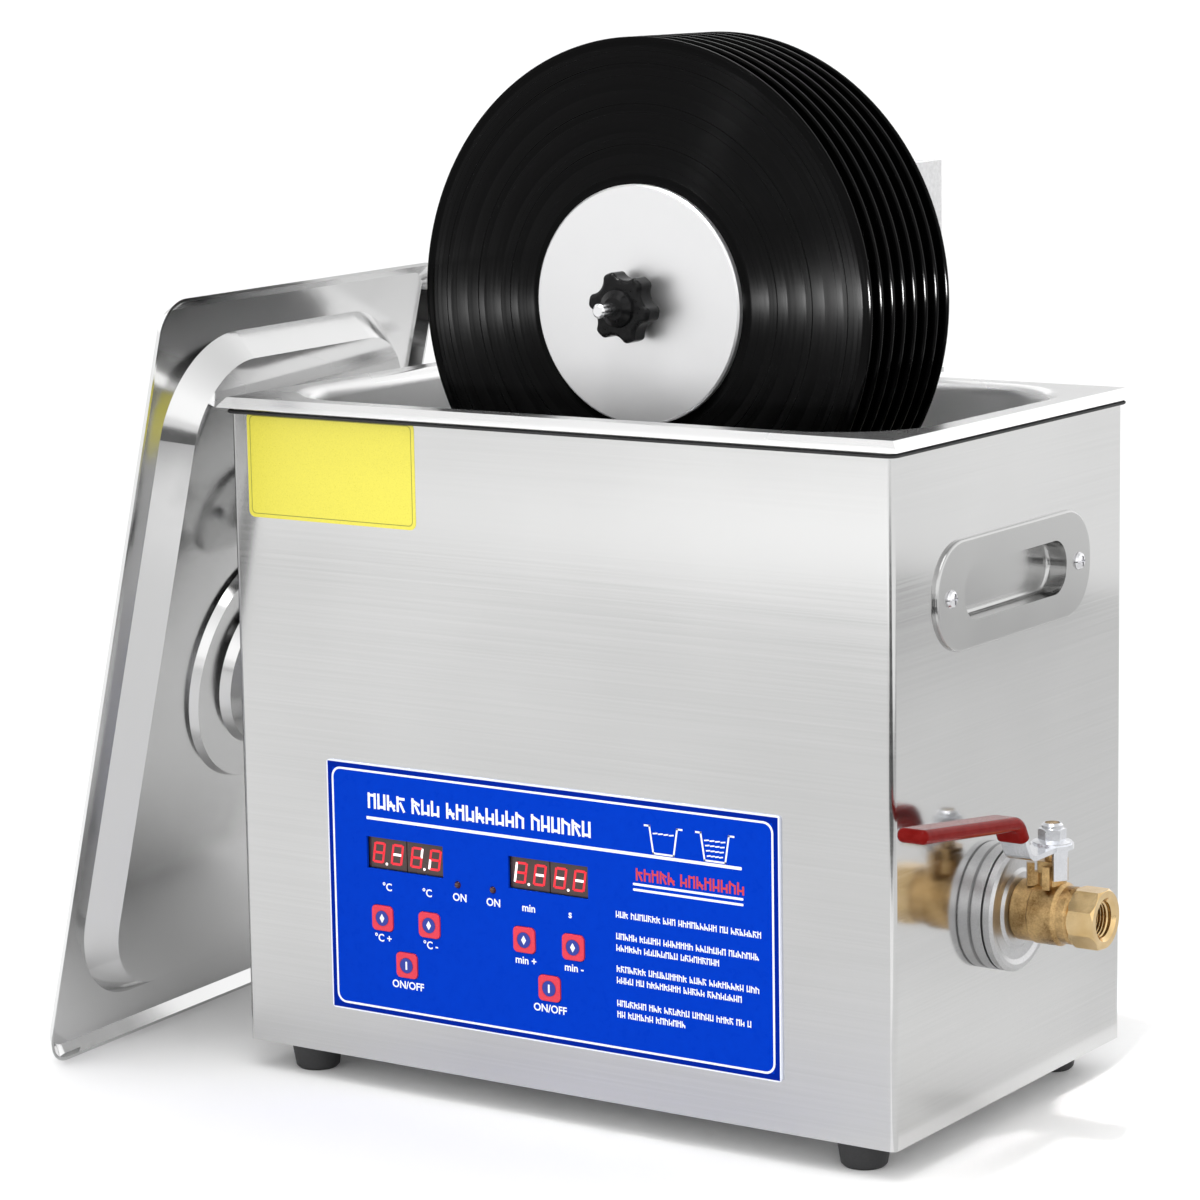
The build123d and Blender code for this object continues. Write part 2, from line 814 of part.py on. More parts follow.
def octagonal_mouth(mouth_x):
    """Spanner octagon at the valve's end, turned down over its corners."""
    corner = valve_mouth_flats / 2 / math.cos(math.pi / 8)
    octagon = Pos(mouth_x, valve_y, valve_z) * Rot(0, 90, 0) * extrude(
        RegularPolygon(corner, 8, rotation=22.5), valve_mouth_length
    )
    turning = turned_x([
        (mouth_x, 0), (mouth_x, corner - 1.1), (mouth_x + 2.0, corner + 0.6),
        (valve_end_x - 2.0, corner + 0.6), (valve_end_x, corner - 1.1), (valve_end_x, 0),
    ], valve_y, valve_z)
    return octagon & turning


def lug_angles():
    """Where the lugs stand, so that the lever's tab meets one at each end of its turn."""
    reach = neck_dia / 2 + tab_gap
    half_tab = tab_width / 2
    clear = stop_lug_width / 2 + seat_gap
    lead = math.atan2(half_tab, reach) + math.asin(clear / math.hypot(half_tab, reach))
    lead = math.degrees(lead)
    return [tab_angle - lead, tab_angle + quarter_turn + lead, cast_lug_angle]


def stop_lug(angle):
    """Radial lug on the neck at the given angle, its outer part standing past the gland."""
    reach = neck_dia / 2 + stop_lug_reach
    root = neck_dia / 2 - 1.0
    outer = gland_hex / math.sqrt(3) + seat_gap
    lug = Pos(root, 0, 0) * Box(reach - root, stop_lug_width, stop_lug_height,
                                align=(Align.MIN, Align.CENTER, Align.MAX))
    lug += Pos(outer, 0, -1.0) * Box(reach - outer, stop_lug_width, stop_lug_rise + 1.0,
                                     align=(Align.MIN, Align.CENTER, Align.MIN))
    return Pos(stem_x, valve_y, valve_z + neck_top) * Rot(0, 0, angle) * lug


def ball_seats():
    """Two PTFE rings with coned faces that hold the ball on either side."""
    bore = ball_bore_dia / 2
    outer = ball_chamber_radius() - running_gap
    back = ball_chamber_half()
    cone = (ball_dia / 2 + seat_gap) * math.sqrt(2)
    outline = [(bore, cone - bore), (bore, outer), (back, outer), (back, bore),
               (cone - bore, bore)]
    return group(
        turned_x([(stem_x + side * x, radius) for x, radius in outline], valve_y, valve_z)
        for side in (-1, 1)
    )


def valve_ball():
    """Drilled ball, closed, with a slot for the stem's tongue."""
    ball = Pos(stem_x, valve_y, valve_z) * Sphere(ball_dia / 2)
    ball -= rod_y(ball_bore_dia / 2, stem_x, valve_y - ball_dia, valve_y + ball_dia, valve_z)
    slot_floor = valve_z + ball_dia / 2 - tongue_depth - slip_gap
    return ball - slab(tongue_width + 2 * slip_gap, ball_dia, 2 * tongue_depth,
                       (stem_x, valve_y), slot_floor)


def valve_stem():
    """Turned stem with a tongue below and flats where the lever sits."""
    tongue_floor = valve_z + ball_dia / 2 - tongue_depth
    shoulder = valve_z + ball_dia / 2 + seat_gap
    lever_top = valve_z + lever_level + lever_thickness
    top = lever_top + lever_flange_height + lever_nut_height - 1.2
    stem = rod_z(stem_dia / 2, stem_x, valve_y, shoulder, top)
    stem += slab(tongue_width, stem_dia * 0.9, shoulder - tongue_floor + 0.5,
                 (stem_x, valve_y), tongue_floor)
    flats = slab(stem_dia + 2, stem_dia + 2, lever_thickness + 0.6, (stem_x, valve_y),
                 valve_z + lever_level - 0.3)
    flats -= slab(stem_dia + 3, stem_flats, lever_thickness + 2, (stem_x, valve_y),
                  valve_z + lever_level - 1)
    return stem - flats


def gland_nut():
    """Packing nut on the neck."""
    z0 = valve_z + neck_top
    nut = hex_z(gland_hex, stem_x, valve_y, z0, z0 + gland_height)
    return nut - rod_z(stem_dia / 2 + running_gap, stem_x, valve_y, z0 - 1,
                       z0 + gland_height + 1)


def lever_path(start_back, end_reach):
    """Middle line of the lever: flat hub, crank up, then a long rising run."""
    mid = valve_z + lever_level + lever_thickness / 2
    run = lever_reach - crank_end
    share = (end_reach - crank_end) / run
    tip_rise = crank_rise + (lever_rise - crank_rise) * share
    points = [
        (stem_x, valve_y + start_back, mid),
        (stem_x, valve_y - crank_start, mid),
        (stem_x, valve_y - crank_end, mid + crank_rise),
        (stem_x, valve_y - end_reach, mid + tip_rise),
    ]
    return FilletPolyline(*points, radius=lever_bend)


def lever():
    """Flat steel lever with a keyed hub, a stop tab and a cranked arm."""
    path = lever_path(0, lever_reach - 5.0)
    start = Plane(origin=path @ 0, x_dir=(1, 0, 0), z_dir=path % 0)
    strap = sweep(start * Rectangle(lever_width, lever_thickness), path=path)
    level = valve_z + lever_level
    hub = rod_z(lever_hub_dia / 2, stem_x, valve_y, level, level + lever_thickness)
    tab = Box(lever_thickness, tab_width, tab_drop + lever_thickness,
              align=(Align.MIN, Align.CENTER, Align.MAX))
    tab_place = Pos(stem_x, valve_y, level + lever_thickness) * Rot(0, 0, tab_angle)
    tab = tab_place * Pos(neck_dia / 2 + tab_gap, 0, 0) * tab
    hole = rod_z(stem_dia / 2 + slip_gap, stem_x, valve_y, level - 1, level + 3)
    hole &= slab(stem_dia * 2, stem_flats + 2 * slip_gap, 6, (stem_x, valve_y), level - 2)
    return strap + hub + tab - hole


def lever_grip():
    """Dipped vinyl sleeve over the lever's arm."""
    whole = lever_path(0, lever_reach)
    path = whole.trim(grip_start / whole.length, 1.0)
    start = Plane(origin=path @ 0, x_dir=(1, 0, 0), z_dir=path % 0)
    section = RectangleRounded(grip_width, grip_thickness, grip_thickness * 0.45)
    sleeve = sweep(start * section, path=path)
    tip = sleeve.faces().sort_by(Axis.Y)[0]
    sleeve = fillet(tip.edges(), grip_thickness * 0.44)
    return sleeve - lever()


def lever_nut():
    """Flanged nut that holds the lever on its stem."""
    seat = valve_z + lever_level + lever_thickness
    flange = turned_z([
        (0, seat), (lever_flange_dia / 2, seat), (lever_flange_dia / 2, seat + 0.8),
        (lever_nut_hex / 2, seat + lever_flange_height), (0, seat + lever_flange_height),
    ], stem_x, valve_y)
    top = seat + lever_flange_height + lever_nut_height
    nut = Pos(stem_x, valve_y, 0) * Rot(0, 0, 30) * hex_z(lever_nut_hex, 0, 0, seat + 0.5, top)
    corner = lever_nut_hex / math.sqrt(3)
    collar = lever_collar_dia / 2
    collar_z = top - lever_collar_height
    dome = turned_z([
        (0, seat), (corner + 1, seat), (corner + 1, collar_z - 1.2), (collar, collar_z),
        (collar, top - 0.9), (collar - 0.9, top), (0, top),
    ], stem_x, valve_y)
    return flange + (nut & dome) - rod_z(stem_dia / 2 + slip_gap, stem_x, valve_y,
                                         seat - 1, top + 1)


# ---- transducers, heater and generator ----
def transducer_horn(x):
    """Aluminium front mass, glued to the tank's underside."""
    outline = [
        (0, tank_under), (horn_top_dia / 2, tank_under), (horn_top_dia / 2, tank_under - 6.0),
        (horn_foot_dia / 2, tank_under - horn_height), (0, tank_under - horn_height),
    ]
    return turned_z(outline, x, 0)


def piezo_pair(x):
    """Two ceramic rings with a contact leaf between them."""
    z0 = tank_under - horn_height
    rings = []
    for i in range(2):
        top = z0 - i * ring_thickness
        ring = rod_z(ring_dia / 2, x, 0, top - ring_thickness, top)
        rings.append(ring - rod_z(ring_bore_dia / 2, x, 0, top - ring_thickness - 1, top + 1))
    return rings


def transducer_tail(x):
    """Steel back mass with its clamp bolt."""
    z0 = tank_under - horn_height - 2 * ring_thickness
    tail = turned_z([
        (0, z0), (ring_dia / 2, z0), (ring_dia / 2, z0 - tail_height + 2.0),
        (ring_dia / 2 - 2.0, z0 - tail_height), (0, z0 - tail_height),
    ], x, 0)
    head = z0 - tail_height
    return tail + hex_z(transducer_bolt_hex, x, 0, head - transducer_bolt_head, head)


def heater_pads():
    """Silicone heating mats along the tank's long walls."""
    lean = math.radians(tank_draft)
    middle_z = heater_z + heater_height / 2
    wall_y = tank_breadth / 2 + tank_sheet - (rim_top - middle_z) * math.tan(lean)
    y = wall_y + seat_gap + heater_thickness / 2
    pads = []
    for side in (-1, 1):
        pad = Box(heater_length, heater_thickness, heater_height, align=MIDDLE)
        pads.append(Pos(0, side * y, middle_z) * Rot(-side * tank_draft, 0, 0) * pad)
    return group(pads)


def generator_board():
    """Ultrasonic driver board with its transformer, chokes, capacitors and heat sink."""
    top = base_top + boss_height
    board = slab(generator_width, generator_depth, board_thickness,
                 (generator_x, generator_y), top)
    deck = top + board_thickness
    x, y = transformer_place
    board += slab(*transformer_size, (generator_x + x, generator_y + y), deck)
    x, y = choke_place
    board += rod_z(choke_dia / 2, generator_x + x, generator_y + y, deck, deck + choke_height)
    board -= rod_z(choke_bore_dia / 2, generator_x + x, generator_y + y, deck,
                   deck + choke_height + 1)
    for x, y in capacitor_places:
        board += rod_z(capacitor_dia / 2, generator_x + x, generator_y + y, deck,
                       deck + capacitor_height)
    x = generator_x + sink_place[0]
    y = generator_y + sink_place[1]
    board += slab(sink_length, sink_thickness, sink_height, (x, y), deck)
    for i in range(fin_count):
        fin_x = x + (i - (fin_count - 1) / 2) * fin_pitch
        board += slab(fin_thickness, fin_length, sink_height,
                      (fin_x, y - (sink_thickness + fin_length) / 2 + 0.5), deck)
    return board


# ---- control panel ----
def key_places():
    """Name and place of each key, from the panel's middle."""
    half = key_pitch / 2
    return {
        "temp_up_key": (left_group - half, key_row),
        "temp_down_key": (left_group + half, key_row),
        "heat_switch_key": (left_group, switch_row),
        "time_up_key": (right_group - half, key_row),
        "time_down_key": (right_group + half, key_row),
        "wave_switch_key": (right_group, switch_row),
    }


def display_places():
    """Middle of each display window, from the panel's middle."""
    return [(left_group, display_row), (right_group, display_row)]


def lamp_places():
    """Middle of each indicator lamp, from the panel's middle."""
    return [(lamp_left, lamp_row), (lamp_right, lamp_row)]


def control_panel():
    """Front plate with windows for the displays, lamps and keys."""
    plate = plate_y(RectangleRounded(panel_width, panel_height, panel_corner),
                    panel_x, panel_back_y, panel_front_y, panel_z)
    y0 = panel_back_y + 1
    y1 = panel_front_y - 1
    for x, z in display_places():
        hole = Rectangle(display_width + 2 * key_gap, display_height + 2 * key_gap)
        plate -= plate_y(hole, panel_x + x, y0, y1, panel_z + z)
    for x, z in key_places().values():
        hole = RectangleRounded(key_size + 2 * key_gap, key_size + 2 * key_gap,
                                key_radius + key_gap)
        plate -= plate_y(hole, panel_x + x, y0, y1, panel_z + z)
    for x, z in lamp_places():
        plate -= rod_y(lamp_dia / 2 + slip_gap, panel_x + x, y1, y0, panel_z + z)
    return plate


def key(x, z):
    """Square key cap with a retaining flange and a dished finger face."""
    cap = plate_y(RectangleRounded(key_size, key_size, key_radius), panel_x + x,
                  key_back_y, panel_front_y - key_proud, panel_z + z)
    flange = plate_y(
        RectangleRounded(key_size + 2 * key_flange, key_size + 2 * key_flange, key_radius),
        panel_x + x, key_back_y, key_back_y - key_flange_depth, panel_z + z,
    )
    front = cap.faces().sort_by(Axis.Y)[0]
    cap = fillet(front.edges(), 0.4)
    dish = rod_y(key_size * 0.32, panel_x + x, panel_front_y - key_proud - 1,
                 panel_front_y - key_proud + key_dish, panel_z + z)
    return cap + flange - dish


def control_board():
    """Circuit board on the casing's studs, with a switch behind each key."""
    plate = plate_y(
        Rectangle(panel_width - 2 * board_margin, panel_height - 2 * board_margin),
        panel_x, board_front_y + board_thickness, board_front_y, panel_z,
    )
    for x, z in key_places().values():
        middle = (panel_x + x, board_front_y - tact_height / 2, panel_z + z)
        plate += block((tact_size, tact_height, tact_size), middle)
        plate += rod_y(tact_plunger_dia / 2, panel_x + x, tact_top_y, board_front_y,
                       panel_z + z)
    return plate


def display_modules():
    """Four two-digit display blocks, two behind each window."""
    width = (display_width - digit_gap) / 2
    blocks = []
    for x, z in display_places():
        for side in (-1, 1):
            x_mid = panel_x + x + side * (width + digit_gap) / 2
            y_mid = board_front_y - display_depth / 2
            blocks.append(block((width, display_depth, display_height),
                                (x_mid, y_mid, panel_z + z)))
    return group(blocks)


def indicator_lamp(x, z):
    """Round-nosed indicator lamp standing on the board."""
    radius = lamp_dia / 2
    nose = panel_front_y + 0.3
    outline = [
        (0, nose - radius), (radius * 0.7, nose - radius * 0.7), (radius, nose),
        (radius, board_front_y - 1.0), (radius + 0.4, board_front_y - 1.0),
        (radius + 0.4, board_front_y), (0, board_front_y),
    ]
    return turned_y(outline, panel_x + x, panel_z + z)


# ---- side handles ----
def side_handle(side):
    """Recessed handle: rounded face plate with a shallow finger cup behind it."""
    plate = plate_x(RectangleRounded(handle_length, handle_height, handle_radius),
                    side, side_x, side_x + handle_plate, 0, handle_z)
    face = plate.faces().sort_by(Axis.X)[-1 if side > 0 else 0]
    plate = fillet(face.edges(), 1.2)
    inner_x = side_x - grip_depth
    cup = plate_x(
        RectangleRounded(grip_length + 2 * grip_wall, grip_height + 2 * grip_wall,
                         grip_radius + grip_wall),
        side, inner_x - grip_wall, side_x + handle_plate / 2, 0, handle_z,
    )
    cup = fillet(inner_face(cup, side).edges(), grip_bottom_radius + grip_wall)
    hollow = plate_x(RectangleRounded(grip_length, grip_height, grip_radius),
                     side, inner_x, side_x + handle_plate + 1, 0, handle_z)
    hollow = fillet(inner_face(hollow, side).edges(), grip_bottom_radius)
    handle = plate + cup - hollow
    for y in (-handle_screw_pitch / 2, handle_screw_pitch / 2):
        handle -= rod_x(tapping_screw_dia / 2 + slip_gap, side * side_x - 3,
                        side * side_x + 4, y, handle_z)
    return handle


def inner_face(solid, side):
    """The face nearest to the machine's middle."""
    faces = solid.faces().sort_by(Axis.X)
    return faces[0] if side > 0 else faces[-1]


def handle_screw(side, y):
    """Round-headed tapping screw of a side handle."""
    seat = side_x + handle_plate
    half = tapping_head_dia / 2
    outline = [
        (seat + tapping_head_height, 0), (seat + tapping_head_height, half * 0.5),
        (seat + tapping_head_height * 0.6, half * 0.85), (seat + 0.3, half), (seat, half),
        (seat, tapping_screw_dia / 2), (seat - tapping_length, tapping_screw_dia / 2),
        (seat - tapping_length - 1.5, 0),
    ]
    screw = turned_x(outline, y, handle_z)
    for size in ((2.0, tapping_head_dia * 0.6, 1.0), (2.0, 1.0, tapping_head_dia * 0.6)):
        screw -= block(size, (seat + tapping_head_height, y, handle_z))
    return screw if side > 0 else mirror(screw, about=Plane.YZ)


# ---- back wall ----
def fan_screw_places():
    """Fan screws at the corners of the frame."""
    half = fan_screw_pitch / 2
    return [(fan_x + sx * half, fan_z + sz * half) for sx in (-1, 1) for sz in (-1, 1)]


def inlet_screw_places():
    """The inlet's two screws."""
    half = inlet_screw_pitch / 2
    return [(inlet_x - half, inlet_z), (inlet_x + half, inlet_z)]


def fan_frame():
    """Square fan housing with a round duct and a hub carrier on three arms."""
    y1 = back_y - sheet
    y0 = y1 - fan_depth
    frame = plate_y(RectangleRounded(fan_size, fan_size, 4.0), fan_x, y0, y1, fan_z)
    frame -= rod_y(fan_bore_dia / 2, fan_x, y0 - 1, y1 + 1, fan_z)
    frame += rod_y(fan_hub_dia / 2, fan_x, y0, y0 + 2.0, fan_z)
    for i in range(3):
        arm = Pos(fan_bore_dia / 4 + 2, 0, 0) * Box(fan_bore_dia / 2, 2.0, 3.0, align=MIDDLE)
        frame += Pos(fan_x, y0 + 1.0, fan_z) * Rot(0, 120 * i + 30, 0) * arm
    frame -= rod_y(fan_pin_dia / 2 + running_gap, fan_x, y0 - 1, y0 + 3, fan_z)
    for x, z in fan_screw_places():
        frame -= rod_y(small_screw_dia / 2 + slip_gap, x, y0 - 1, y1 + 1, z)
    return frame


def fan_rotor():
    """Hub with swept blades on a steel pin."""
    y1 = back_y - sheet - 1.2
    y0 = back_y - sheet - fan_depth + 2.0 + seat_gap
    hub = rod_y(fan_hub_dia / 2, fan_x, y0, y1, fan_z)
    hub_edge = hub.faces().sort_by(Axis.Y)[-1].edges()
    rotor = fillet(hub_edge, 2.0)
    inner = fan_hub_dia / 2 - 1.0
    outer = fan_bore_dia / 2 - 1.0
    for i in range(fan_blades):
        blade = Pos((inner + outer) / 2, 0, 0) * Rot(38, 0, 0) * Box(
            outer - inner, 1.4, 13.0, align=MIDDLE
        )
        place = Pos(fan_x, (y0 + y1) / 2, fan_z) * Rot(0, i * 360 / fan_blades, 0)
        rotor += place * blade
    duct = rod_y(outer, fan_x, y0, y1, fan_z)
    rotor = rotor & duct
    return rotor + rod_y(fan_pin_dia / 2, fan_x, y0 - 2.0 - seat_gap, y0 + 1, fan_z)


def fan_guard():
    """Wire finger guard: rings on two crossing bars with screw eyes."""
    y_wire = back_y + guard_wire / 2
    guard = None
    for radius in guard_rings:
        ring = Pos(fan_x, y_wire, fan_z) * Rot(90, 0, 0) * Torus(radius, guard_wire / 2)
        guard = ring if guard is None else guard + ring
    diagonal = fan_screw_pitch / 2 * math.sqrt(2)
    for angle in (45, -45):
        bar = Box(2 * diagonal, guard_wire, guard_wire, align=MIDDLE)
        guard += Pos(fan_x, y_wire, fan_z) * Rot(0, angle, 0) * bar
    for x, z in fan_screw_places():
        guard += rod_y(small_head_dia / 2 + 0.4, x, back_y, back_y + guard_wire, z)
    for x, z in fan_screw_places():
        guard -= rod_y(small_screw_dia / 2 + slip_gap, x, back_y - 1, back_y + 3, z)
    return guard


def small_screws():
    """Screws of the fan and the inlet."""
    screws = []
    for x, z in fan_screw_places():
        screws.append(pan_screw_y(x, z, back_y + guard_wire, -1, small_head_dia,
                                  small_head_height, small_screw_dia, small_screw_length))
    for x, z in inlet_screw_places():
        screws.append(pan_screw_y(x, z, back_y + inlet_flange, -1, small_head_dia,
                                  small_head_height, small_screw_dia, small_screw_length))
    for x, z in cover_screw_places():
        screws.append(pan_screw_y(x, z, rack_front_y, 1, small_head_dia, small_head_height,
                                  small_screw_dia, small_screw_length))
    return group(screws)


def power_inlet():
    """Three-pin mains inlet with two clipped corners and screw ears."""
    y_face = back_y + inlet_flange
    y_end = back_y - inlet_depth
    flange = plate_y(RectangleRounded(inlet_flange_width, inlet_flange_height, 5.0),
                     inlet_x, back_y, y_face, inlet_z)
    body = plate_y(Rectangle(inlet_body_width, inlet_body_height), inlet_x, y_end, back_y,
                   inlet_z)
    half_w = inlet_body_width / 2 - inlet_wall
    half_h = inlet_body_height / 2 - inlet_wall
    clip = 4.5
    socket = Polygon(
        (-half_w, -half_h), (half_w, -half_h), (half_w, half_h - clip),
        (half_w - clip, half_h), (-half_w + clip, half_h), (-half_w, half_h - clip),
        align=None,
    )
    inlet = flange + body - plate_y(socket, inlet_x, y_end + 2.5, y_face + 1, inlet_z)
    for x, z in ((-7.0, -2.5), (0.0, 2.5), (7.0, -2.5)):
        inlet += block((2.0, 12.0, 4.0), (inlet_x + x, y_end + 2.5 + 5.5, inlet_z + z))
    for x, z in inlet_screw_places():
        inlet -= rod_y(small_screw_dia / 2 + slip_gap, x, back_y - 1, y_face + 1, z)
    return inlet


def power_switch():
    """Switch housing with a rim and a round-bottomed well for the rocker."""
    rim = plate_y(RectangleRounded(switch_width, switch_height, 1.5), switch_x, back_y,
                  back_y + switch_flange, switch_z)
    body = plate_y(
        Rectangle(switch_width - 2 * switch_rim, switch_height - 2 * switch_rim),
        switch_x, back_y - switch_depth, back_y, switch_z,
    )
    well = plate_y(
        Rectangle(switch_width - 2 * switch_rim - 2.4, switch_height - 2 * switch_rim - 1.6),
        switch_x, back_y - 6.0, back_y + switch_flange + 1, switch_z,
    )
    housing = rim + body - well
    pin = rod_x(rocker_pin_dia / 2, switch_x - switch_width / 2 + switch_rim + 0.4,
                switch_x + switch_width / 2 - switch_rim - 0.4, rocker_pivot_y(), switch_z)
    return housing + pin


def rocker_pivot_y():
    """Depth of the rocker's pin."""
    return back_y - 1.0


def power_rocker():
    """Two-faced rocker, tilted to its off position on the housing's pin."""
    half = switch_height / 2 - switch_rim - 1.5
    width = switch_width - 2 * switch_rim - 2.4 - 2 * seat_gap
    crest = 3.6
    outline = Polygon(
        (-half, -1.0), (-half, crest - 0.4), (0, crest - 1.6), (half, crest - 0.4),
        (half, -1.0), (2.6, -2.8), (-2.6, -2.8), align=None,
    )
    plane = Plane(origin=(0, 0, 0), x_dir=(0, 0, 1), z_dir=(-1, 0, 0))
    body = extrude(plane * outline, width / 2, both=True)
    body -= rod_x(rocker_pin_dia / 2 + running_gap, -width, width, 0, 0)
    return Pos(switch_x, rocker_pivot_y(), switch_z) * Rot(rocker_tilt, 0, 0) * body


def fuse_holder():
    """Round fuse holder with a knurled-looking flange and a ring nut inside."""
    radius = fuse_dia / 2
    bore = fuse_cap_dia / 2 + 0.3
    outline = [
        (bore, back_y + fuse_flange), (fuse_flange_dia / 2 - 0.6, back_y + fuse_flange),
        (fuse_flange_dia / 2, back_y + fuse_flange - 0.6), (fuse_flange_dia / 2, back_y),
        (radius, back_y), (radius, back_y - fuse_depth), (0, back_y - fuse_depth),
        (0, back_y - fuse_depth + 3.0), (bore, back_y - fuse_depth + 3.0),
    ]
    holder = turned_y(outline, fuse_x, fuse_z)
    nut_back = back_y - sheet
    nut = plate_y(RegularPolygon(9.0, 6), fuse_x, nut_back - 3.5, nut_back, fuse_z)
    nut -= rod_y(radius - 0.5, fuse_x, nut_back - 5, nut_back + 1, fuse_z)
    return holder + nut


def fuse_cap():
    """Slotted bayonet cap of the fuse holder."""
    radius = fuse_cap_dia / 2
    y_out = back_y + fuse_flange + fuse_cap_proud
    cap = turned_y([
        (0, y_out), (radius - 0.8, y_out), (radius, y_out - 0.8),
        (radius, back_y - fuse_depth + 3.0 + seat_gap), (0, back_y - fuse_depth + 3.0 + seat_gap),
    ], fuse_x, fuse_z)
    return cap - block((fuse_cap_dia + 1, 3.0, 1.2), (fuse_x, y_out, fuse_z))


# ---- record rack ----
def rack_bracket():
    """Bent plate: motor wall and shelf over the rear rim, with a leg behind the wall."""
    shelf_length = bracket_sheet + cover_depth
    wall = block((rack_width, bracket_sheet, rack_height),
                 (rack_x, rack_front_y + bracket_sheet / 2, rim_top + rack_height / 2))
    shelf = block((rack_width, shelf_length, bracket_sheet),
                  (rack_x, rack_front_y + shelf_length / 2, rim_top + bracket_sheet / 2))
    plate = wall + shelf
    front_bend = [
        e for e in plate.edges().filter_by(Axis.X)
        if e.center().Y < rack_front_y + 0.01 and e.center().Z < rim_top + 0.01
    ]
    plate = fillet(front_bend, bracket_bend)
    plate = fillet(upright_corners(plate, rack_top), 4.0)
    leg = block((leg_width, bracket_sheet, leg_drop),
                (rack_x, leg_front_y + bracket_sheet / 2, rim_top - leg_drop / 2))
    leg = fillet(upright_corners(leg, rim_top - leg_drop), 8.0)
    plate += leg
    plate -= rod_y(bush_dia / 2, rack_x, rack_front_y - 1, bracket_back_y + 1, spindle_z)
    for x in clamp_places():
        plate -= rod_y(clamp_screw_dia / 2 + running_gap, x, leg_front_y - 1, leg_back_y + 1,
                       clamp_z)
    for x, z in cover_screw_places():
        plate -= rod_y(small_screw_dia / 2 + slip_gap, x, rack_front_y - 1,
                       bracket_back_y + 1, z)
    return plate


def upright_corners(plate, z):
    """The edges along Y at the given height."""
    return [e for e in plate.edges().filter_by(Axis.Y) if abs(e.center().Z - z) < 0.01]


def clamp_places():
    """Both clamp screws' places along the leg."""
    return [rack_x - clamp_pitch / 2, rack_x + clamp_pitch / 2]


def clamp_screw(x):
    """Thumbscrew through the leg, with a scalloped head and a flat pad end."""
    head_front = leg_back_y + seat_gap
    head = plate_y(lobed_disc(clamp_head_dia / 2, 1.2, clamp_lobes), x, head_front + 2.0,
                   head_front + 2.0 + clamp_head_depth, clamp_z)
    head += rod_y(clamp_screw_dia, x, head_front, head_front + 2.5, clamp_z)
    tip = back_y + seat_gap
    screw = rod_y(clamp_screw_dia / 2, x, tip, head_front + 1, clamp_z)
    return head + screw


def lobed_disc(radius, scallop, count):
    """Disc with round scallops cut into its edge."""
    disc = Circle(radius)
    for i in range(count):
        angle = math.radians(360 * (i + 0.5) / count)
        place = Pos(radius * 1.06 * math.cos(angle), radius * 1.06 * math.sin(angle))
        disc -= place * Circle(scallop + radius * 0.06)
    return disc


def motor_cover():
    """Folded cover over the gear motor, open below and screwed on by two front tabs."""
    y0 = bracket_back_y
    y1 = bracket_back_y + cover_depth
    z0 = rim_top + bracket_sheet
    height = rack_top - z0
    outer = slab(rack_width, cover_depth, height, (rack_x, (y0 + y1) / 2), z0)
    inner = slab(rack_width - 2 * cover_sheet, cover_depth, height - cover_sheet,
                 (rack_x, (y0 + y1) / 2 - cover_sheet), z0)
    rear_edges = outer.edges().filter_by(Axis.Z).sort_by(Axis.Y)[-2:]
    cover = fillet(rear_edges, 2.0) - inner
    for side in (-1, 1):
        tab_x = rack_x + side * (rack_width / 2 - cover_tab / 2)
        cover += block((cover_tab, cover_sheet, height), (tab_x, y0 + cover_sheet / 2,
                                                          z0 + height / 2))
    for x, z in cover_screw_places():
        cover -= rod_y(small_screw_dia / 2 + slip_gap, x, y0 - 1, y0 + cover_sheet + 1, z)
    cover -= rod_y(socket_dia / 2 + slip_gap, rack_x + socket_x, y1 - cover_sheet - 1, y1 + 1,
                   socket_z)
    slot = SlotOverall(30.0, 2.6)
    for i in range(5):
        cover -= plate_y(slot, rack_x, y1 - cover_sheet - 1, y1 + 1, rack_top - 16.0 - 7.0 * i)
    return cover


def cover_screw_places():
    """Screws through the bracket's wall into the cover's tabs."""
    across = rack_width / 2 - cover_tab / 2
    return [
        (rack_x + side * across, z)
        for side in (-1, 1) for z in (rack_top - 14.0, rim_top + 18.0)
    ]


def motor_socket():
    """Round low-voltage socket in the motor cover's rear wall."""
    y1 = bracket_back_y + cover_depth
    x = rack_x + socket_x
    outline = [
        (socket_bore_dia / 2, y1 + 1.6), (socket_flange_dia / 2 - 0.4, y1 + 1.6),
        (socket_flange_dia / 2, y1 + 1.2), (socket_flange_dia / 2, y1), (socket_dia / 2, y1),
        (socket_dia / 2, y1 - socket_depth), (0, y1 - socket_depth),
        (0, y1 - socket_depth + 1.5), (socket_bore_dia / 2, y1 - socket_depth + 1.5),
    ]
    pin = rod_y(socket_pin_dia / 2, x, y1 - socket_depth + 1, y1 - 1, socket_z)
    nut = plate_y(RegularPolygon(6.5, 6), x, y1 - cover_sheet - 2.0, y1 - cover_sheet, socket_z)
    nut -= rod_y(socket_dia / 2 - 0.5, x, y1 - cover_sheet - 3, y1, socket_z)
    return turned_y(outline, x, socket_z) + pin + nut


def gear_motor():
    """Round synchronous gear motor bolted behind the bracket's wall."""
    y0 = bracket_back_y
    y1 = y0 + gearbox_depth
    y2 = y1 + motor_depth
    gearbox = rod_y(motor_dia / 2 - 1.0, rack_x, y0, y1, spindle_z)
    can = rod_y(motor_dia / 2, rack_x, y1, y2, spindle_z)
    can_edge = can.faces().sort_by(Axis.Y)[-1].edges()
    can = fillet(can_edge, 2.5)
    ears = plate_y(SlotOverall(motor_ear_pitch + motor_ear_width, motor_ear_width), rack_x, y0,
                   y0 + 1.5, spindle_z)
    motor = gearbox + can + ears
    return motor - rod_y(tang_dia / 2 + running_gap, rack_x, y0 - 1, y0 + tang_length + 4,
                         spindle_z)


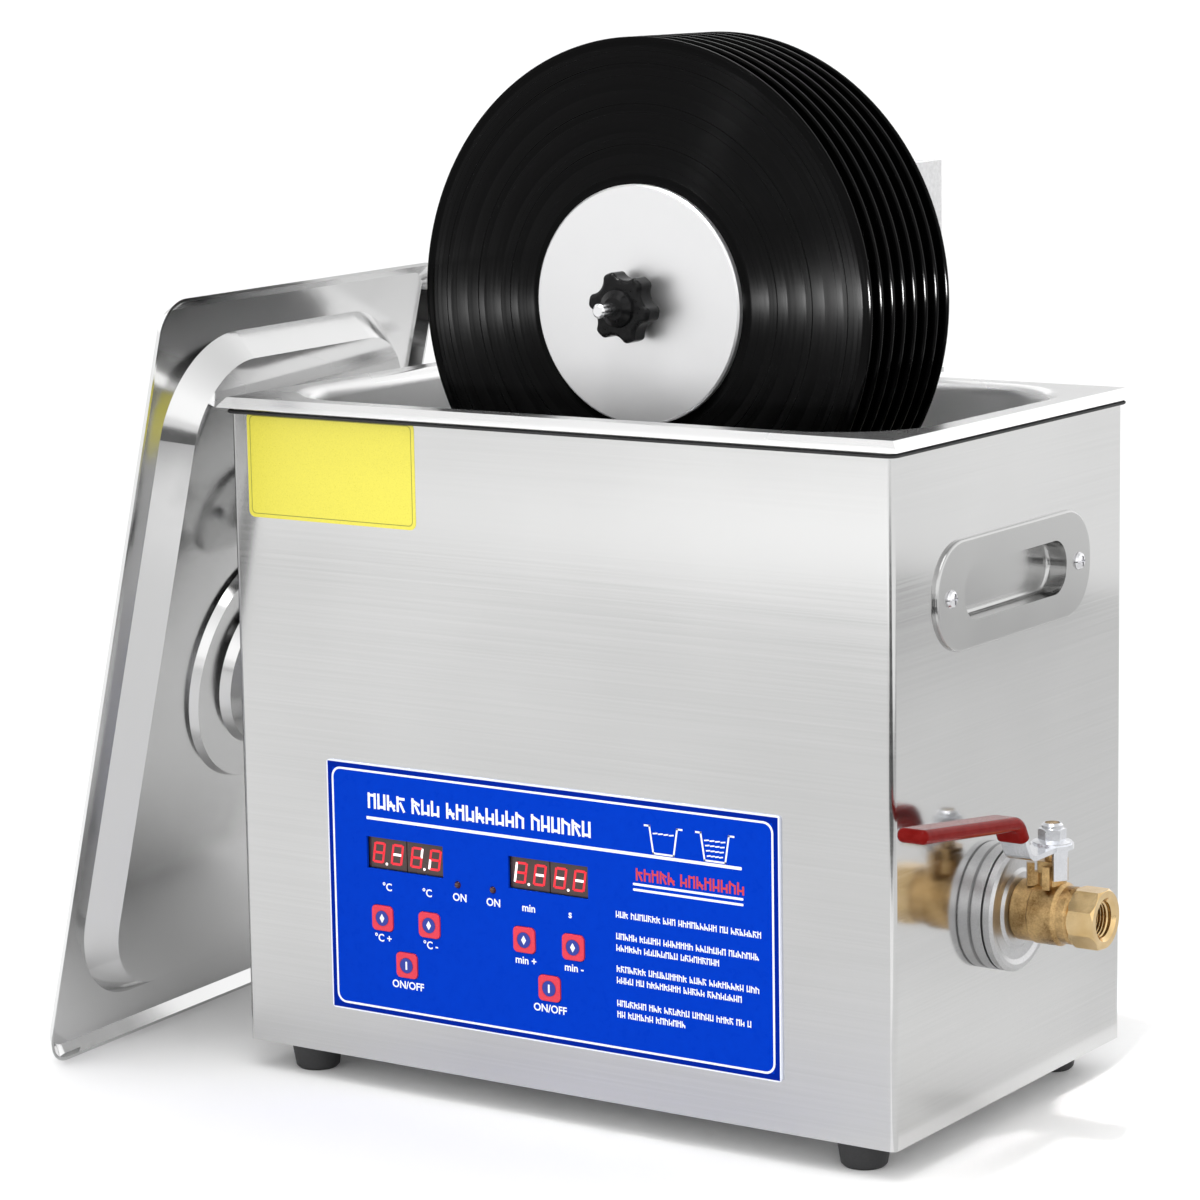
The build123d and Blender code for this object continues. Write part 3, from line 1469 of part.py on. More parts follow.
def bearing_bush():
    """Flanged plain bush pressed into the bracket."""
    bore = journal_dia / 2 + running_gap
    return turned_y([
        (bore, bush_front_y), (bush_flange_dia / 2 - 0.5, bush_front_y),
        (bush_flange_dia / 2, bush_front_y + 0.5), (bush_flange_dia / 2, rack_front_y),
        (bush_dia / 2, rack_front_y), (bush_dia / 2, bracket_back_y),
        (bore, bracket_back_y),
    ], rack_x, spindle_z)


def spindle():
    """Stepped spindle: drive tang, journal, collar, record seat and threaded stud."""
    seat = record_hole_dia / 2 - slip_gap
    stud = stud_thread_dia / 2
    journal_end = bracket_back_y - seat_gap
    shaft = turned_y([
        (0, stud_end_y), (stud - 0.8, stud_end_y), (stud, stud_end_y + 0.8),
        (stud, clamp_front_y), (seat, clamp_front_y),
        (seat, collar_back_y - spindle_collar),
        (spindle_collar_dia / 2, collar_back_y - spindle_collar),
        (spindle_collar_dia / 2, collar_back_y), (journal_dia / 2, collar_back_y),
        (journal_dia / 2, journal_end), (tang_dia / 2, journal_end),
        (tang_dia / 2, bracket_back_y + tang_length), (0, bracket_back_y + tang_length),
    ], rack_x, spindle_z)
    flat = block((tang_dia, tang_length, 1.2),
                 (rack_x, bracket_back_y + tang_length / 2, spindle_z + tang_dia / 2))
    return shaft - flat


def record(i):
    """Record with a raised label zone and a beaded edge."""
    y0 = record_front_y + i * record_pitch
    y1 = y0 + record_edge
    web = (record_edge - record_web) / 2
    outer = record_dia / 2
    label = label_dia / 2
    hole = record_hole_dia / 2
    return turned_y([
        (hole, y0), (label, y0), (label + 1.0, y0 + web), (outer - record_bead, y0 + web),
        (outer - record_bead / 2, y0), (outer - 0.5, y0), (outer, y0 + 0.5), (outer, y1 - 0.5),
        (outer - 0.5, y1), (outer - record_bead / 2, y1), (outer - record_bead, y1 - web),
        (label + 1.0, y1 - web), (label, y1), (hole, y1),
    ], rack_x, spindle_z)


def record_spacer(i):
    """Label-sized spacer between two records."""
    y0 = record_front_y + i * record_pitch + record_edge
    y1 = y0 + record_pitch - record_edge
    ring = rod_y(label_dia / 2 - 1.0, rack_x, y0, y1, spindle_z)
    return ring - rod_y(record_hole_dia / 2, rack_x, y0 - 1, y1 + 1, spindle_z)


def front_clamp_disc():
    """Label clamp with a bevelled edge."""
    outer = label_dia / 2
    return turned_y([
        (record_hole_dia / 2, clamp_front_y), (outer - clamp_disc_edge, clamp_front_y),
        (outer, clamp_front_y + clamp_disc_edge), (outer, record_front_y),
        (record_hole_dia / 2, record_front_y),
    ], rack_x, spindle_z)


def rear_clamp_disc():
    """Fixed clamp disc with a long hub that butts on the spindle's collar."""
    outer = label_dia / 2 - 1.0
    hub_end = collar_back_y - spindle_collar
    hole = record_hole_dia / 2
    return turned_y([
        (hole, stack_back_y), (outer, stack_back_y), (outer, stack_back_y + rear_disc),
        (rear_hub_dia / 2 + 3.0, stack_back_y + rear_disc),
        (rear_hub_dia / 2, stack_back_y + rear_disc + 3.0), (rear_hub_dia / 2, hub_end),
        (hole, hub_end),
    ], rack_x, spindle_z)


def star_knob():
    """Lobed star knob with a domed hub in front and a round boss behind, open for the stud."""
    radius = knob_dia / 2
    hollow_place = radius + knob_hollow_radius - knob_hollow_depth
    lobes = Circle(radius)
    for i in range(knob_lobes):
        angle = math.radians(knob_lobe_angle + 360 * (i + 0.5) / knob_lobes)
        place = Pos(hollow_place * math.cos(angle), hollow_place * math.sin(angle))
        lobes -= place * Circle(knob_hollow_radius)
    lobes = fillet(lobes.vertices(), knob_lobe_round)
    head_back_y = knob_front_y + knob_head_depth
    head = plate_y(lobes, rack_x, knob_front_y, head_back_y, spindle_z)
    front = head.faces().sort_by(Axis.Y)[0]
    head = fillet(front.edges(), 2.0)
    boss = rod_y(knob_boss_dia / 2, rack_x, head_back_y - 1, knob_back_y, spindle_z)
    hub_radius = knob_hub_dia / 2
    hub = turned_y([
        (0, knob_front_y - knob_hub_rise), (hub_radius * 0.55, knob_front_y - knob_hub_rise),
        (hub_radius * 0.9, knob_front_y - knob_hub_rise * 0.4), (hub_radius, knob_front_y + 1),
        (0, knob_front_y + 1),
    ], rack_x, spindle_z)
    bore = rod_y(stud_thread_dia / 2 + running_gap, rack_x, knob_front_y - knob_hub_rise - 1,
                 knob_back_y + 1, spindle_z)
    return head + boss + hub - bore


# ---- lid ----
def lid_lean():
    """Angle from upright at which the pan's face just clears the rim's front corner."""
    turn = math.radians(lid_turn)
    to_corner_x = side_x + lid_foot_distance - rim_length / 2
    to_corner_y = lid_foot_forward - (rim_breadth - body_depth) / 2
    across = to_corner_x * math.cos(turn) + to_corner_y * math.sin(turn)
    up = rim_top - rim_drop
    face = pan_depth - lid_lip + seat_gap
    return math.degrees(math.acos(face / math.hypot(across, up)) - math.atan2(up, across))


def lid_place():
    """Plane of the lid's border: X runs up the lean, Z faces the tank, the lip on the floor."""
    lean = math.radians(lid_lean())
    turn = math.radians(lid_turn)
    out = Vector(math.cos(turn), math.sin(turn), 0)
    normal = out * math.cos(lean) - Vector(0, 0, math.sin(lean))
    up = out * math.sin(lean) + Vector(0, 0, math.cos(lean))
    corner = Vector(-side_x - lid_foot_distance, front_y - lid_foot_forward, 0)
    return Plane(origin=corner - normal * lid_lip, x_dir=up, z_dir=normal)


def lid_middle():
    """The middle of the lid's border in its own plane."""
    return lid_place() * Pos(lid_length / 2, -lid_breadth / 2, 0)


def pan_body(growth, level):
    """Sloping-sided pan, its root on the given level, grown on each side."""
    root = RectangleRounded(pan_length + 2 * growth, pan_breadth + 2 * growth,
                            pan_corner + growth)
    taper = math.degrees(math.atan2(pan_slope, pan_depth))
    return Pos(0, 0, level) * extrude(root, pan_depth, taper=taper)


def dish_body(growth, level):
    """Round ring and finger dish on the pan's field."""
    ring = ring_outer_radius + growth
    dish = dish_radius + growth
    base = level - 1.0
    step = level + ring_height
    crown = step + dish_depth
    profile = Polygon(
        (0, base), (ring, base), (ring, level), (ring - ring_slope, step), (dish, step),
        (dish - 2.0, crown - dish_round * 0.6), (dish - 5.5, crown - dish_round * 0.2),
        (dish - 10.0, crown), (0, crown), align=None,
    )
    return revolve(Plane.XZ * profile, Axis.Z)


def lid():
    """Pressed lid: flat border, leaning lip, raised pan, ring and finger dish."""
    lip_face = Pos(0, 0, lid_lip) * RectangleRounded(lid_length, lid_breadth, lid_corner)
    blank = extrude(lip_face, -lid_lip - lid_sheet, taper=45)
    blank = fillet(blank.faces().sort_by(Axis.Z)[0].edges(), lid_bend_radius)
    set_in = lid_sheet * math.sqrt(2)
    hem_face = Pos(0, 0, lid_lip) * RectangleRounded(
        lid_length - 2 * set_in, lid_breadth - 2 * set_in, lid_corner - set_in
    )
    pressed = blank - extrude(hem_face, -lid_lip, taper=45)
    pressed += pan_body(0, 0)
    pressed += dish_body(0, pan_depth)
    pressed -= pan_body(-lid_sheet / 2, -lid_sheet)
    pressed -= dish_body(-lid_sheet, pan_depth - lid_sheet)
    return lid_middle() * pressed


def lid_handle_bar():
    """Arched grip bar across the dish, on the lid's outer side."""
    seat = pan_depth + ring_height - lid_sheet
    half = bar_length / 2
    foot = 8.0
    outer = ThreePointArc((-half, seat), (0, seat - bar_arch), (half, seat))
    end_right = Line(outer @ 1, (half - foot, seat))
    inner = ThreePointArc((half - foot, seat), (0, seat - bar_arch + bar_thickness),
                          (foot - half, seat))
    end_left = Line(inner @ 1, outer @ 0)
    strip = make_face([outer, end_right, inner, end_left])
    plane = Plane(origin=(0, 0, 0), x_dir=(1, 0, 0), z_dir=(0, -1, 0))
    bar = extrude(plane * strip, bar_width / 2, both=True)
    return lid_middle() * Rot(0, 0, 90) * bar


# ---- all nodes ----
def all_nodes():
    """Every piece by its node name."""
    nodes = {
        "casing": casing(),
        "base_plate": base_plate(),
        "feet": group(foot(x, y) for x, y in foot_places),
        "foot_screws": group(foot_screw(x, y) for x, y in foot_places),
        "tank": tank(),
        "tank_drain": tank_drain(),
        "drain_nut": drain_nut(),
        "drain_elbow": drain_elbow(),
        "wall_flanges": wall_flanges(),
        "flange_gasket": flange_gasket(),
        "valve_body": valve_body(),
        "ball_seats": ball_seats(),
        "valve_ball": valve_ball(),
        "valve_stem": valve_stem(),
        "gland_nut": gland_nut(),
        "lever": lever(),
        "lever_grip": lever_grip(),
        "lever_nut": lever_nut(),
        "transducer_horns": group(transducer_horn(x) for x in transducer_xs),
        "piezo_rings": group(ring for x in transducer_xs for ring in piezo_pair(x)),
        "transducer_tails": group(transducer_tail(x) for x in transducer_xs),
        "heater_pads": heater_pads(),
        "generator_board": generator_board(),
        "control_panel": control_panel(),
        "control_board": control_board(),
        "display_modules": display_modules(),
        "indicator_lamps": group(indicator_lamp(x, z) for x, z in lamp_places()),
        "right_handle": side_handle(1),
        "left_handle": side_handle(-1),
        "handle_screws": group(
            handle_screw(side, y)
            for side in (-1, 1) for y in (-handle_screw_pitch / 2, handle_screw_pitch / 2)
        ),
        "power_inlet": power_inlet(),
        "power_switch": power_switch(),
        "power_rocker": power_rocker(),
        "fuse_holder": fuse_holder(),
        "fuse_cap": fuse_cap(),
        "fan_frame": fan_frame(),
        "fan_rotor": fan_rotor(),
        "fan_guard": fan_guard(),
        "small_screws": small_screws(),
        "rack_bracket": rack_bracket(),
        "left_clamp_screw": clamp_screw(clamp_places()[0]),
        "right_clamp_screw": clamp_screw(clamp_places()[1]),
        "motor_cover": motor_cover(),
        "gear_motor": gear_motor(),
        "motor_socket": motor_socket(),
        "bearing_bush": bearing_bush(),
        "spindle": spindle(),
        "rear_clamp_disc": rear_clamp_disc(),
        "record_spacers": group(record_spacer(i) for i in range(record_count - 1)),
        "records": group(record(i) for i in range(record_count)),
        "front_clamp_disc": front_clamp_disc(),
        "star_knob": star_knob(),
        "lid": lid(),
        "lid_handle_bar": lid_handle_bar(),
    }
    for name, (x, z) in key_places().items():
        nodes[name] = key(x, z)
    return nodes


def row_move(shapes):
    """Move that puts the origin under the middle of the whole outline."""
    boxes = [shape.bounding_box() for shape in shapes]
    middle_x = (min(b.min.X for b in boxes) + max(b.max.X for b in boxes)) / 2
    middle_y = (min(b.min.Y for b in boxes) + max(b.max.Y for b in boxes)) / 2
    return Pos(-round(middle_x, 1), -round(middle_y, 1), 0)


nodes_in_place = all_nodes()
to_row = row_move(nodes_in_place.values())
os.makedirs("parts", exist_ok=True)
for node_name, shape in nodes_in_place.items():
    solids = [to_row * solid for solid in shape.solids()]
    moved = solids[0] if len(solids) == 1 else group(solids)
    export_step(moved, os.path.join("parts", node_name + ".step"))
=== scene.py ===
"""Finishes, printing and small fittings of a bench record washer, and the studio it stands in."""

import math
import random

import bmesh
import bpy
from mathutils import Matrix, Quaternion, Vector


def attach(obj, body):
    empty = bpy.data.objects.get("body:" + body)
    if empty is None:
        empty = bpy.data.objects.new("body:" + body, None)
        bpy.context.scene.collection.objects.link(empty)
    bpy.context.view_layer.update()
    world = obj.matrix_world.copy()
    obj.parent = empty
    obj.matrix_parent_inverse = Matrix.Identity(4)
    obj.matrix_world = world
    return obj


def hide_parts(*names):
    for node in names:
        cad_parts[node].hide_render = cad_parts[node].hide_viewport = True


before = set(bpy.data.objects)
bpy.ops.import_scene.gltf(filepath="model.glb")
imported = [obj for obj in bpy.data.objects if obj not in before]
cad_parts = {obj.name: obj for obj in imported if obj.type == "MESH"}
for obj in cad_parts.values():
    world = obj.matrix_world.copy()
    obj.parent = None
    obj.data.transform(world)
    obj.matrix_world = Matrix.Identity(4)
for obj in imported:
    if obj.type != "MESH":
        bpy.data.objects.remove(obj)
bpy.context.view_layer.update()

MM = 0.001
INK = 0.05

# The casing's middle on the floor. Other places are measured from it, in millimetres
MIDDLE = Vector((23.2, 12.6, 0.0))

CASE_SIZE = (325.0, 195.0)
CASE_FACE = -CASE_SIZE[1] / 2
BEND_RADIUS = 2.5
RIM_EDGE = (290.5, 293.5)

PANEL_MIDDLE = (-2.0, 88.7)
PANEL_SIZE = (226.0, 109.0)
PANEL_FACE = -98.7
DISPLAY_FACE = -97.0
KEY_FACE = -99.4

SPINDLE = (5.0, 336.0)
RECORD_FRONT = -32.0

VALVE = (-11.3, 94.8)
VALVE_END = 210.8
VALVE_MACHINED = (198.2, 199.0)

KEYS = {
    "temp_up": (-84.8, -11.8, "diamond"),
    "temp_down": (-60.2, -11.8, "diamond"),
    "heat_switch": (-72.5, -30.9, "bar"),
    "time_up": (-11.3, -11.8, "diamond"),
    "time_down": (13.3, -11.8, "diamond"),
    "wave_switch": (1.0, -30.9, "bar"),
}


class Value:
    """A shader number that stands in a Python expression."""

    def __init__(self, tree, socket):
        self.tree = tree
        self.socket = socket

    def maths(self, operation, *others):
        values = dict(enumerate((self, *others)))
        return self.tree.node("ShaderNodeMath", {"operation": operation}, values)

    def __add__(self, other):
        return self.maths("ADD", other)

    def __sub__(self, other):
        return self.maths("SUBTRACT", other)

    def __rsub__(self, other):
        return self.maths("MULTIPLY_ADD", -1.0, other)

    def __mul__(self, other):
        return self.maths("MULTIPLY", other)

    def __pow__(self, other):
        return self.maths("POWER", other)

    def __gt__(self, other):
        return self.maths("GREATER_THAN", other)

    def __abs__(self):
        return self.maths("ABSOLUTE")

    __radd__ = __add__
    __rmul__ = __mul__

    def most(self, other):
        return self.maths("MAXIMUM", other)

    def wave(self):
        return self.maths("SINE")

    def zigzag(self, step):
        return self.maths("PINGPONG", step)


class Tree:
    """A node tree that is built up from Python."""

    def __init__(self, tree):
        self.tree = tree

    def fill(self, node, values):
        for key, value in values.items():
            socket = node.inputs[key]
            if isinstance(value, Value):
                self.tree.links.new(value.socket, socket)
            else:
                socket.default_value = value

    def node(self, kind, settings=None, values=None, output=0):
        made = self.tree.nodes.new(kind)
        for key, value in (settings or {}).items():
            setattr(made, key, value)
        self.fill(made, values or {})
        return Value(self, made.outputs[output])

    def parts(self, vector):
        """A vector's x, y and z."""
        split = self.node("ShaderNodeSeparateXYZ", values={0: vector}).socket.node
        return [Value(self, split.outputs[i]) for i in range(3)]

    def spread(self, value, low, high, to_low=0.0, to_high=1.0):
        """Maps low..high to to_low..to_high, and holds it there outside."""
        values = {0: value, 1: low, 2: high, 3: to_low, 4: to_high}
        return self.node("ShaderNodeMapRange", values=values)


class Paint(Tree):
    """One material: its principled surface, and the nodes that vary it."""

    def __init__(self, name, colour, roughness, metallic=0.0, **fixed):
        self.material = bpy.data.materials.new(name)
        self.material.use_nodes = True
        super().__init__(self.material.node_tree)
        self.surface = self.tree.nodes["Principled BSDF"]
        self.material.diffuse_color = (*colour, 1.0)
        self.set(Base_Color=(*colour, 1.0), Roughness=roughness, Metallic=metallic, **fixed)

    def set(self, **sockets):
        values = {name.replace("_", " "): value for name, value in sockets.items()}
        self.fill(self.surface, values)

    def own_place(self):
        """The point's place in the piece's own mesh, in metres."""
        return self.node("ShaderNodeTexCoord", output=3)

    def place(self):
        """The point's place from the casing's middle at rest, in metres."""
        values = {0: self.own_place(), 1: MIDDLE * MM}
        return self.node("ShaderNodeVectorMath", {"operation": "SUBTRACT"}, values)

    def axes(self):
        return self.parts(self.place())

    def stretched(self, *scale):
        values = {0: self.place(), 1: scale}
        return self.node("ShaderNodeVectorMath", {"operation": "MULTIPLY"}, values)

    def noise(self, scale, detail=2.0, rough=0.5, where=None):
        vector = where or self.place()
        values = {"Vector": vector, "Scale": scale, "Detail": detail, "Roughness": rough}
        return self.node("ShaderNodeTexNoise", values=values)

    def cells(self, scale):
        values = {"Vector": self.place(), "Scale": scale}
        return self.node("ShaderNodeTexVoronoi", values=values)

    def blend(self, share, first, second):
        first, second = ((*c, 1.0) if isinstance(c, tuple) else c for c in (first, second))
        values = {0: share, 6: first, 7: second}
        return self.node("ShaderNodeMix", {"data_type": "RGBA"}, values, output=2)

    def bump(self, height, depth_mm):
        values = {"Height": height, "Distance": depth_mm * MM, "Strength": 1.0}
        self.set(Normal=self.node("ShaderNodeBump", values=values))
        return self


# ---------------------------------------------------------------- finishes


def brushed_steel(name, colour, roughness, lay=(6.0, 6.0, 1400.0), grain=0.06):
    """Rolled sheet: fine lines along the lay, slow drift, and the slight waves of thin sheet."""
    paint = Paint(name, colour, roughness, 1.0)
    lines = paint.noise(1.0, 3.0, 0.6, paint.stretched(*lay))
    drift = paint.noise(9.0)
    shade = tuple(0.9 * c for c in colour)
    gloss = lines * 0.7 + drift * 0.3
    tone = paint.spread(lines * 0.5 + drift * 0.5, 0.35, 0.65)
    paint.set(
        Roughness=paint.spread(gloss, 0.3, 0.7, roughness - grain, roughness + grain),
        Base_Color=paint.blend(tone, shade, colour),
    )
    return paint.bump(lines * 0.04 + paint.noise(5.0, 1.0), 0.02)


def drawn_tank():
    """Deep-drawn tank: matt inside with a lighter base colour that is painted light, and its flat
    rim and turned edge rubbed smoother.
    """
    paint = Paint("tank_steel", (0.8, 0.8, 0.8), 0.5, 1.0)
    _, _, z = paint.axes()
    lines = paint.noise(1.0, 3.0, 0.6, paint.stretched(5.0, 5.0, 900.0))
    slow = paint.noise(11.0)
    rim_band = paint.spread(z, RIM_EDGE[0] * MM, RIM_EDGE[1] * MM)
    matt = paint.spread(lines * 0.6 + slow * 0.4, 0.3, 0.7, 0.44, 0.55)
    bright = paint.spread(slow, 0.3, 0.7, 0.24, 0.3)
    paint.set(
        Roughness=matt * (1 - rim_band) + bright * rim_band,
        # The lighter base colour below the rim band is painted light inside the tank.
        Base_Color=paint.blend(rim_band, (0.9, 0.9, 0.9), (0.76, 0.76, 0.76)),
    )
    return paint.bump(lines * 0.04 + slow, 0.04)


def mirror_steel(name, colour, roughness):
    """Deep-drawn polished sheet: faint polishing swirls and a soft orange peel."""
    paint = Paint(name, colour, roughness, 1.0)
    smear = paint.noise(28.0, 4.0, 0.6)
    peel = paint.noise(14.0)
    paint.set(Roughness=paint.spread(smear, 0.35, 0.75, roughness, roughness + 0.09))
    return paint.bump(peel + paint.noise(420.0, 1.0) * 0.004, 0.12)


def turned_metal(name, colour, roughness, pitch_mm=0.35, depth_mm=0.004, metallic=1.0):
    """A face that was turned on a lathe about the spindle's axis."""
    paint = Paint(name, colour, roughness, metallic)
    x, _, z = paint.axes()
    across, up = x - SPINDLE[0] * MM, z - SPINDLE[1] * MM
    radius = (across * across + up * up) ** 0.5
    rings = (radius * (2 * math.pi / (pitch_mm * MM))).wave()
    drift = paint.noise(35.0)
    paint.set(Roughness=paint.spread(drift, 0.3, 0.7, roughness - 0.04, roughness + 0.06))
    return paint.bump(rings * 0.5 + 0.5, depth_mm)


def worn_metal(name, colour, roughness, dark, speck_scale=900.0, depth_mm=0.03):
    """Plated or cast metal with a fine skin, darker in its hollows."""
    paint = Paint(name, colour, roughness, 1.0)
    skin = paint.noise(speck_scale, 3.0, 0.6)
    patches = paint.noise(60.0, 3.0)
    tone = paint.spread(skin * 0.5 + patches * 0.5, 0.38, 0.6)
    paint.set(
        Base_Color=paint.blend(tone, dark, colour),
        Roughness=paint.spread(patches, 0.3, 0.7, roughness - 0.05, roughness + 0.08),
    )
    return paint.bump(skin, depth_mm)


def cast_brass():
    """Sand-cast brass with a speckled skin, and bright machined flats at the threaded end."""
    paint = Paint("cast_brass", (0.6, 0.4, 0.16), 0.32, 1.0)
    x, _, _ = paint.axes()
    machined = paint.spread(x, VALVE_MACHINED[0] * MM, VALVE_MACHINED[1] * MM)
    skin = paint.noise(1100.0, 3.0, 0.7)
    flecks = paint.cells(1500.0)
    stain = paint.noise(90.0, 3.0)
    tarnish = paint.spread(skin * 0.35 + stain * 0.65, 0.34, 0.62)
    cast = paint.blend(tarnish, (0.2, 0.11, 0.035), (0.66, 0.45, 0.21))
    clean = paint.blend(paint.spread(stain, 0.3, 0.7), (0.6, 0.41, 0.18), (0.8, 0.6, 0.33))
    rough = paint.spread(stain, 0.3, 0.7, 0.26, 0.42)
    paint.set(
        Base_Color=paint.blend(machined, cast, clean),
        Roughness=rough * (1 - machined * 0.45),
    )
    return paint.bump((skin * 0.7 + flecks * 0.3) * (1 - machined * 0.85), 0.16)


def plastic(name, colour, roughness, pit_scale=2400.0, depth_mm=0.012, drift=0.06, **fixed):
    """Moulded plastic: a fine spark-eroded skin, and a slow change of gloss."""
    paint = Paint(name, colour, roughness, 0.0, **fixed)
    skin = paint.noise(pit_scale)
    slow = paint.noise(40.0)
    lighter = tuple(min(1.0, c * 1.18 + 0.004) for c in colour)
    paint.set(
        Roughness=paint.spread(slow, 0.3, 0.7, roughness - drift, roughness + drift),
        Base_Color=paint.blend(paint.spread(skin, 0.3, 0.7), colour, lighter),
    )
    return paint.bump(skin, depth_mm)


def pressed_vinyl():
    """Vinyl on a disc flat on its own Z: cut bands fan the light out and gaps stay smooth."""
    paint = Paint(
        "pressed_vinyl", (0.0006, 0.0006, 0.0007), 0.2,
        Specular_IOR_Level=0.05, Anisotropic=1.0, Anisotropic_Rotation=0.25,
    )
    x, y, _ = paint.parts(paint.own_place())
    radius = (x * x + y * y) ** 0.5
    from_label = paint.spread(radius, 53.5 * MM, 54.5 * MM)
    to_bead = paint.spread(radius, 106.7 * MM, 106.0 * MM)
    track = from_label * to_bead * paint.spread(radius.zigzag(8.3 * MM), 0.12 * MM, 0.4 * MM)
    sound = {"W": radius, "Scale": 700.0, "Detail": 4.0}
    loudness = paint.node("ShaderNodeTexNoise", {"noise_dimensions": "1D"}, sound)
    quiet, loud = (0.0003, 0.0003, 0.00032), (0.0008, 0.0008, 0.00085)
    paint.set(
        Roughness=paint.spread(track * (0.35 + loudness), 0.0, 1.2, 0.12, 0.4),
        Base_Color=paint.blend(track * loudness, quiet, loud),
    )
    return paint.bump(track * 0.4 + loudness * 0.05, 0.05)


def blue_film():
    """Gloss film on a plate: deep blue, darker outside the frame line, with a pale cut edge."""
    paint = Paint("blue_film", (0.0, 0.036, 0.46), 0.3, 0.0, Specular_IOR_Level=0.02)
    border, cut_edge = 3.2, 2.6
    x, _, z = paint.axes()
    over_x = abs(x - PANEL_MIDDLE[0] * MM) + (border - PANEL_SIZE[0] / 2) * MM
    over_z = abs(z - PANEL_MIDDLE[1] * MM) + (border - PANEL_SIZE[1] / 2) * MM
    past = over_x.most(over_z)
    grain = paint.noise(300.0)
    blue = paint.blend(paint.spread(grain, 0.3, 0.7), (0.0, 0.035, 0.45), (0.0, 0.038, 0.47))
    edged = paint.blend(past > 0.0, blue, (0.0, 0.015, 0.26))
    paint.set(
        Base_Color=paint.blend(past > cut_edge * MM, edged, (0.75, 0.78, 0.9)),
        Roughness=paint.spread(grain, 0.3, 0.7, 0.26, 0.36),
    )
    return paint.bump(paint.noise(1600.0, 1.0), 0.004)


def circuit_board():
    """Green lacquer over copper tracks."""
    paint = Paint("circuit_board", (0.02, 0.17, 0.07), 0.4)
    layout = {"Vector": paint.place(), "Scale": 90.0, "Mortar Size": 0.06}
    tracks = paint.node("ShaderNodeTexBrick", values=layout, output=1)
    paint.set(Base_Color=paint.blend(tracks, (0.015, 0.14, 0.055), (0.05, 0.3, 0.13)))
    return paint.bump(tracks, 0.03)


def glowing(name, colour, glow, strength):
    """A lit bar, slightly uneven in its glow."""
    paint = Paint(name, colour, 0.35, 0.0, Emission_Strength=strength)
    flicker = paint.noise(900.0, 1.0)
    deeper = tuple(0.8 * c for c in glow)
    paint.set(Emission_Color=paint.blend(paint.spread(flicker, 0.3, 0.7), deeper, glow))
    return paint


def printed(name, colour, roughness=0.4):
    """Screen-printed ink: slightly uneven in tone and gloss."""
    paint = Paint(name, colour, roughness)
    mesh = paint.noise(1800.0)
    thinner = tuple(0.93 * c for c in colour)
    paint.set(
        Base_Color=paint.blend(paint.spread(mesh, 0.35, 0.65), thinner, colour),
        Roughness=paint.spread(mesh, 0.3, 0.7, roughness - 0.05, roughness + 0.05),
    )
    return paint


bare_metals = {
    "case_steel": brushed_steel("case_steel", (0.66, 0.66, 0.657), 0.12, grain=0.04),
    "tank_steel": drawn_tank(),
    "lid_steel": mirror_steel("lid_steel", (0.64, 0.64, 0.64), 0.12),
    "handle_steel": brushed_steel("handle_steel", (0.5, 0.5, 0.497), 0.2, (1400.0, 9.0, 9.0)),
    "rack_steel": brushed_steel("rack_steel", (0.58, 0.58, 0.58), 0.24, (9.0, 9.0, 1300.0)),
    "spindle_steel": turned_metal("spindle_steel", (0.74, 0.74, 0.75), 0.16),
    "brass": cast_brass(),
    "clamp_aluminium": turned_metal("clamp_aluminium", (0.68, 0.68, 0.685), 0.36, 0.5, 0.0015, 0.9),
}

# Colour, roughness, the colour in the hollows, then the skin's fineness and depth where they differ
worn_metals = {
    "plain_steel": ((0.55, 0.56, 0.57), 0.38, (0.42, 0.43, 0.45)),
    "bright_screw": ((0.8, 0.8, 0.82), 0.16, (0.68, 0.68, 0.7), 1600.0, 0.006),
    "zinc": ((0.56, 0.56, 0.565), 0.34, (0.46, 0.46, 0.465), 1500.0, 0.02),
    "zinc_plate": ((0.78, 0.79, 0.82), 0.17, (0.62, 0.63, 0.66), 1300.0, 0.01),
    "guard_wire": ((0.74, 0.74, 0.76), 0.16, (0.6, 0.6, 0.62), 1200.0, 0.006),
    "motor_can": ((0.6, 0.6, 0.62), 0.28, (0.5, 0.5, 0.52)),
    "horn_aluminium": ((0.74, 0.75, 0.77), 0.3, (0.62, 0.63, 0.65)),
}

# Colour, roughness, then the skin's fineness and depth, and the change of gloss
plastics = {
    "cover_paint": ((0.53, 0.53, 0.535), 0.42, 700.0, 0.03),
    "foot_rubber": ((0.018, 0.018, 0.019), 0.62, 1400.0, 0.05),
    "heater_silicone": ((0.6, 0.2, 0.06), 0.6, 500.0, 0.08),
    "key_red": ((0.62, 0.022, 0.05), 0.34, 1800.0, 0.01),
    "display": ((0.05, 0.028, 0.025), 0.25, 2000.0, 0.004),
    "lamp_lens": ((0.05, 0.015, 0.015), 0.12, 900.0, 0.004),
    "black_plastic": ((0.02, 0.02, 0.021), 0.45, 1500.0, 0.03),
    "rocker_plastic": ((0.022, 0.022, 0.023), 0.24),
    "white_plastic": ((0.84, 0.84, 0.82), 0.4),
    "ceramic": ((0.45, 0.38, 0.28), 0.5, 900.0, 0.04),
}

finishes = {
    **bare_metals,
    **{name: worn_metal(name, *looks) for name, looks in worn_metals.items()},
    **{name: plastic(name, *looks) for name, looks in plastics.items()},
    "red_vinyl": plastic(
        "red_vinyl", (0.14, 0.003, 0.002), 0.13, 260.0, 0.02, 0.03, Specular_IOR_Level=0.05
    ),
    "knob_plastic": plastic(
        "knob_plastic", (0.003, 0.003, 0.0032), 0.18, 500.0, 0.012, 0.04, Specular_IOR_Level=0.12
    ),
    "panel_blue": blue_film(),
    "record_vinyl": pressed_vinyl(),
    "board": circuit_board(),
}

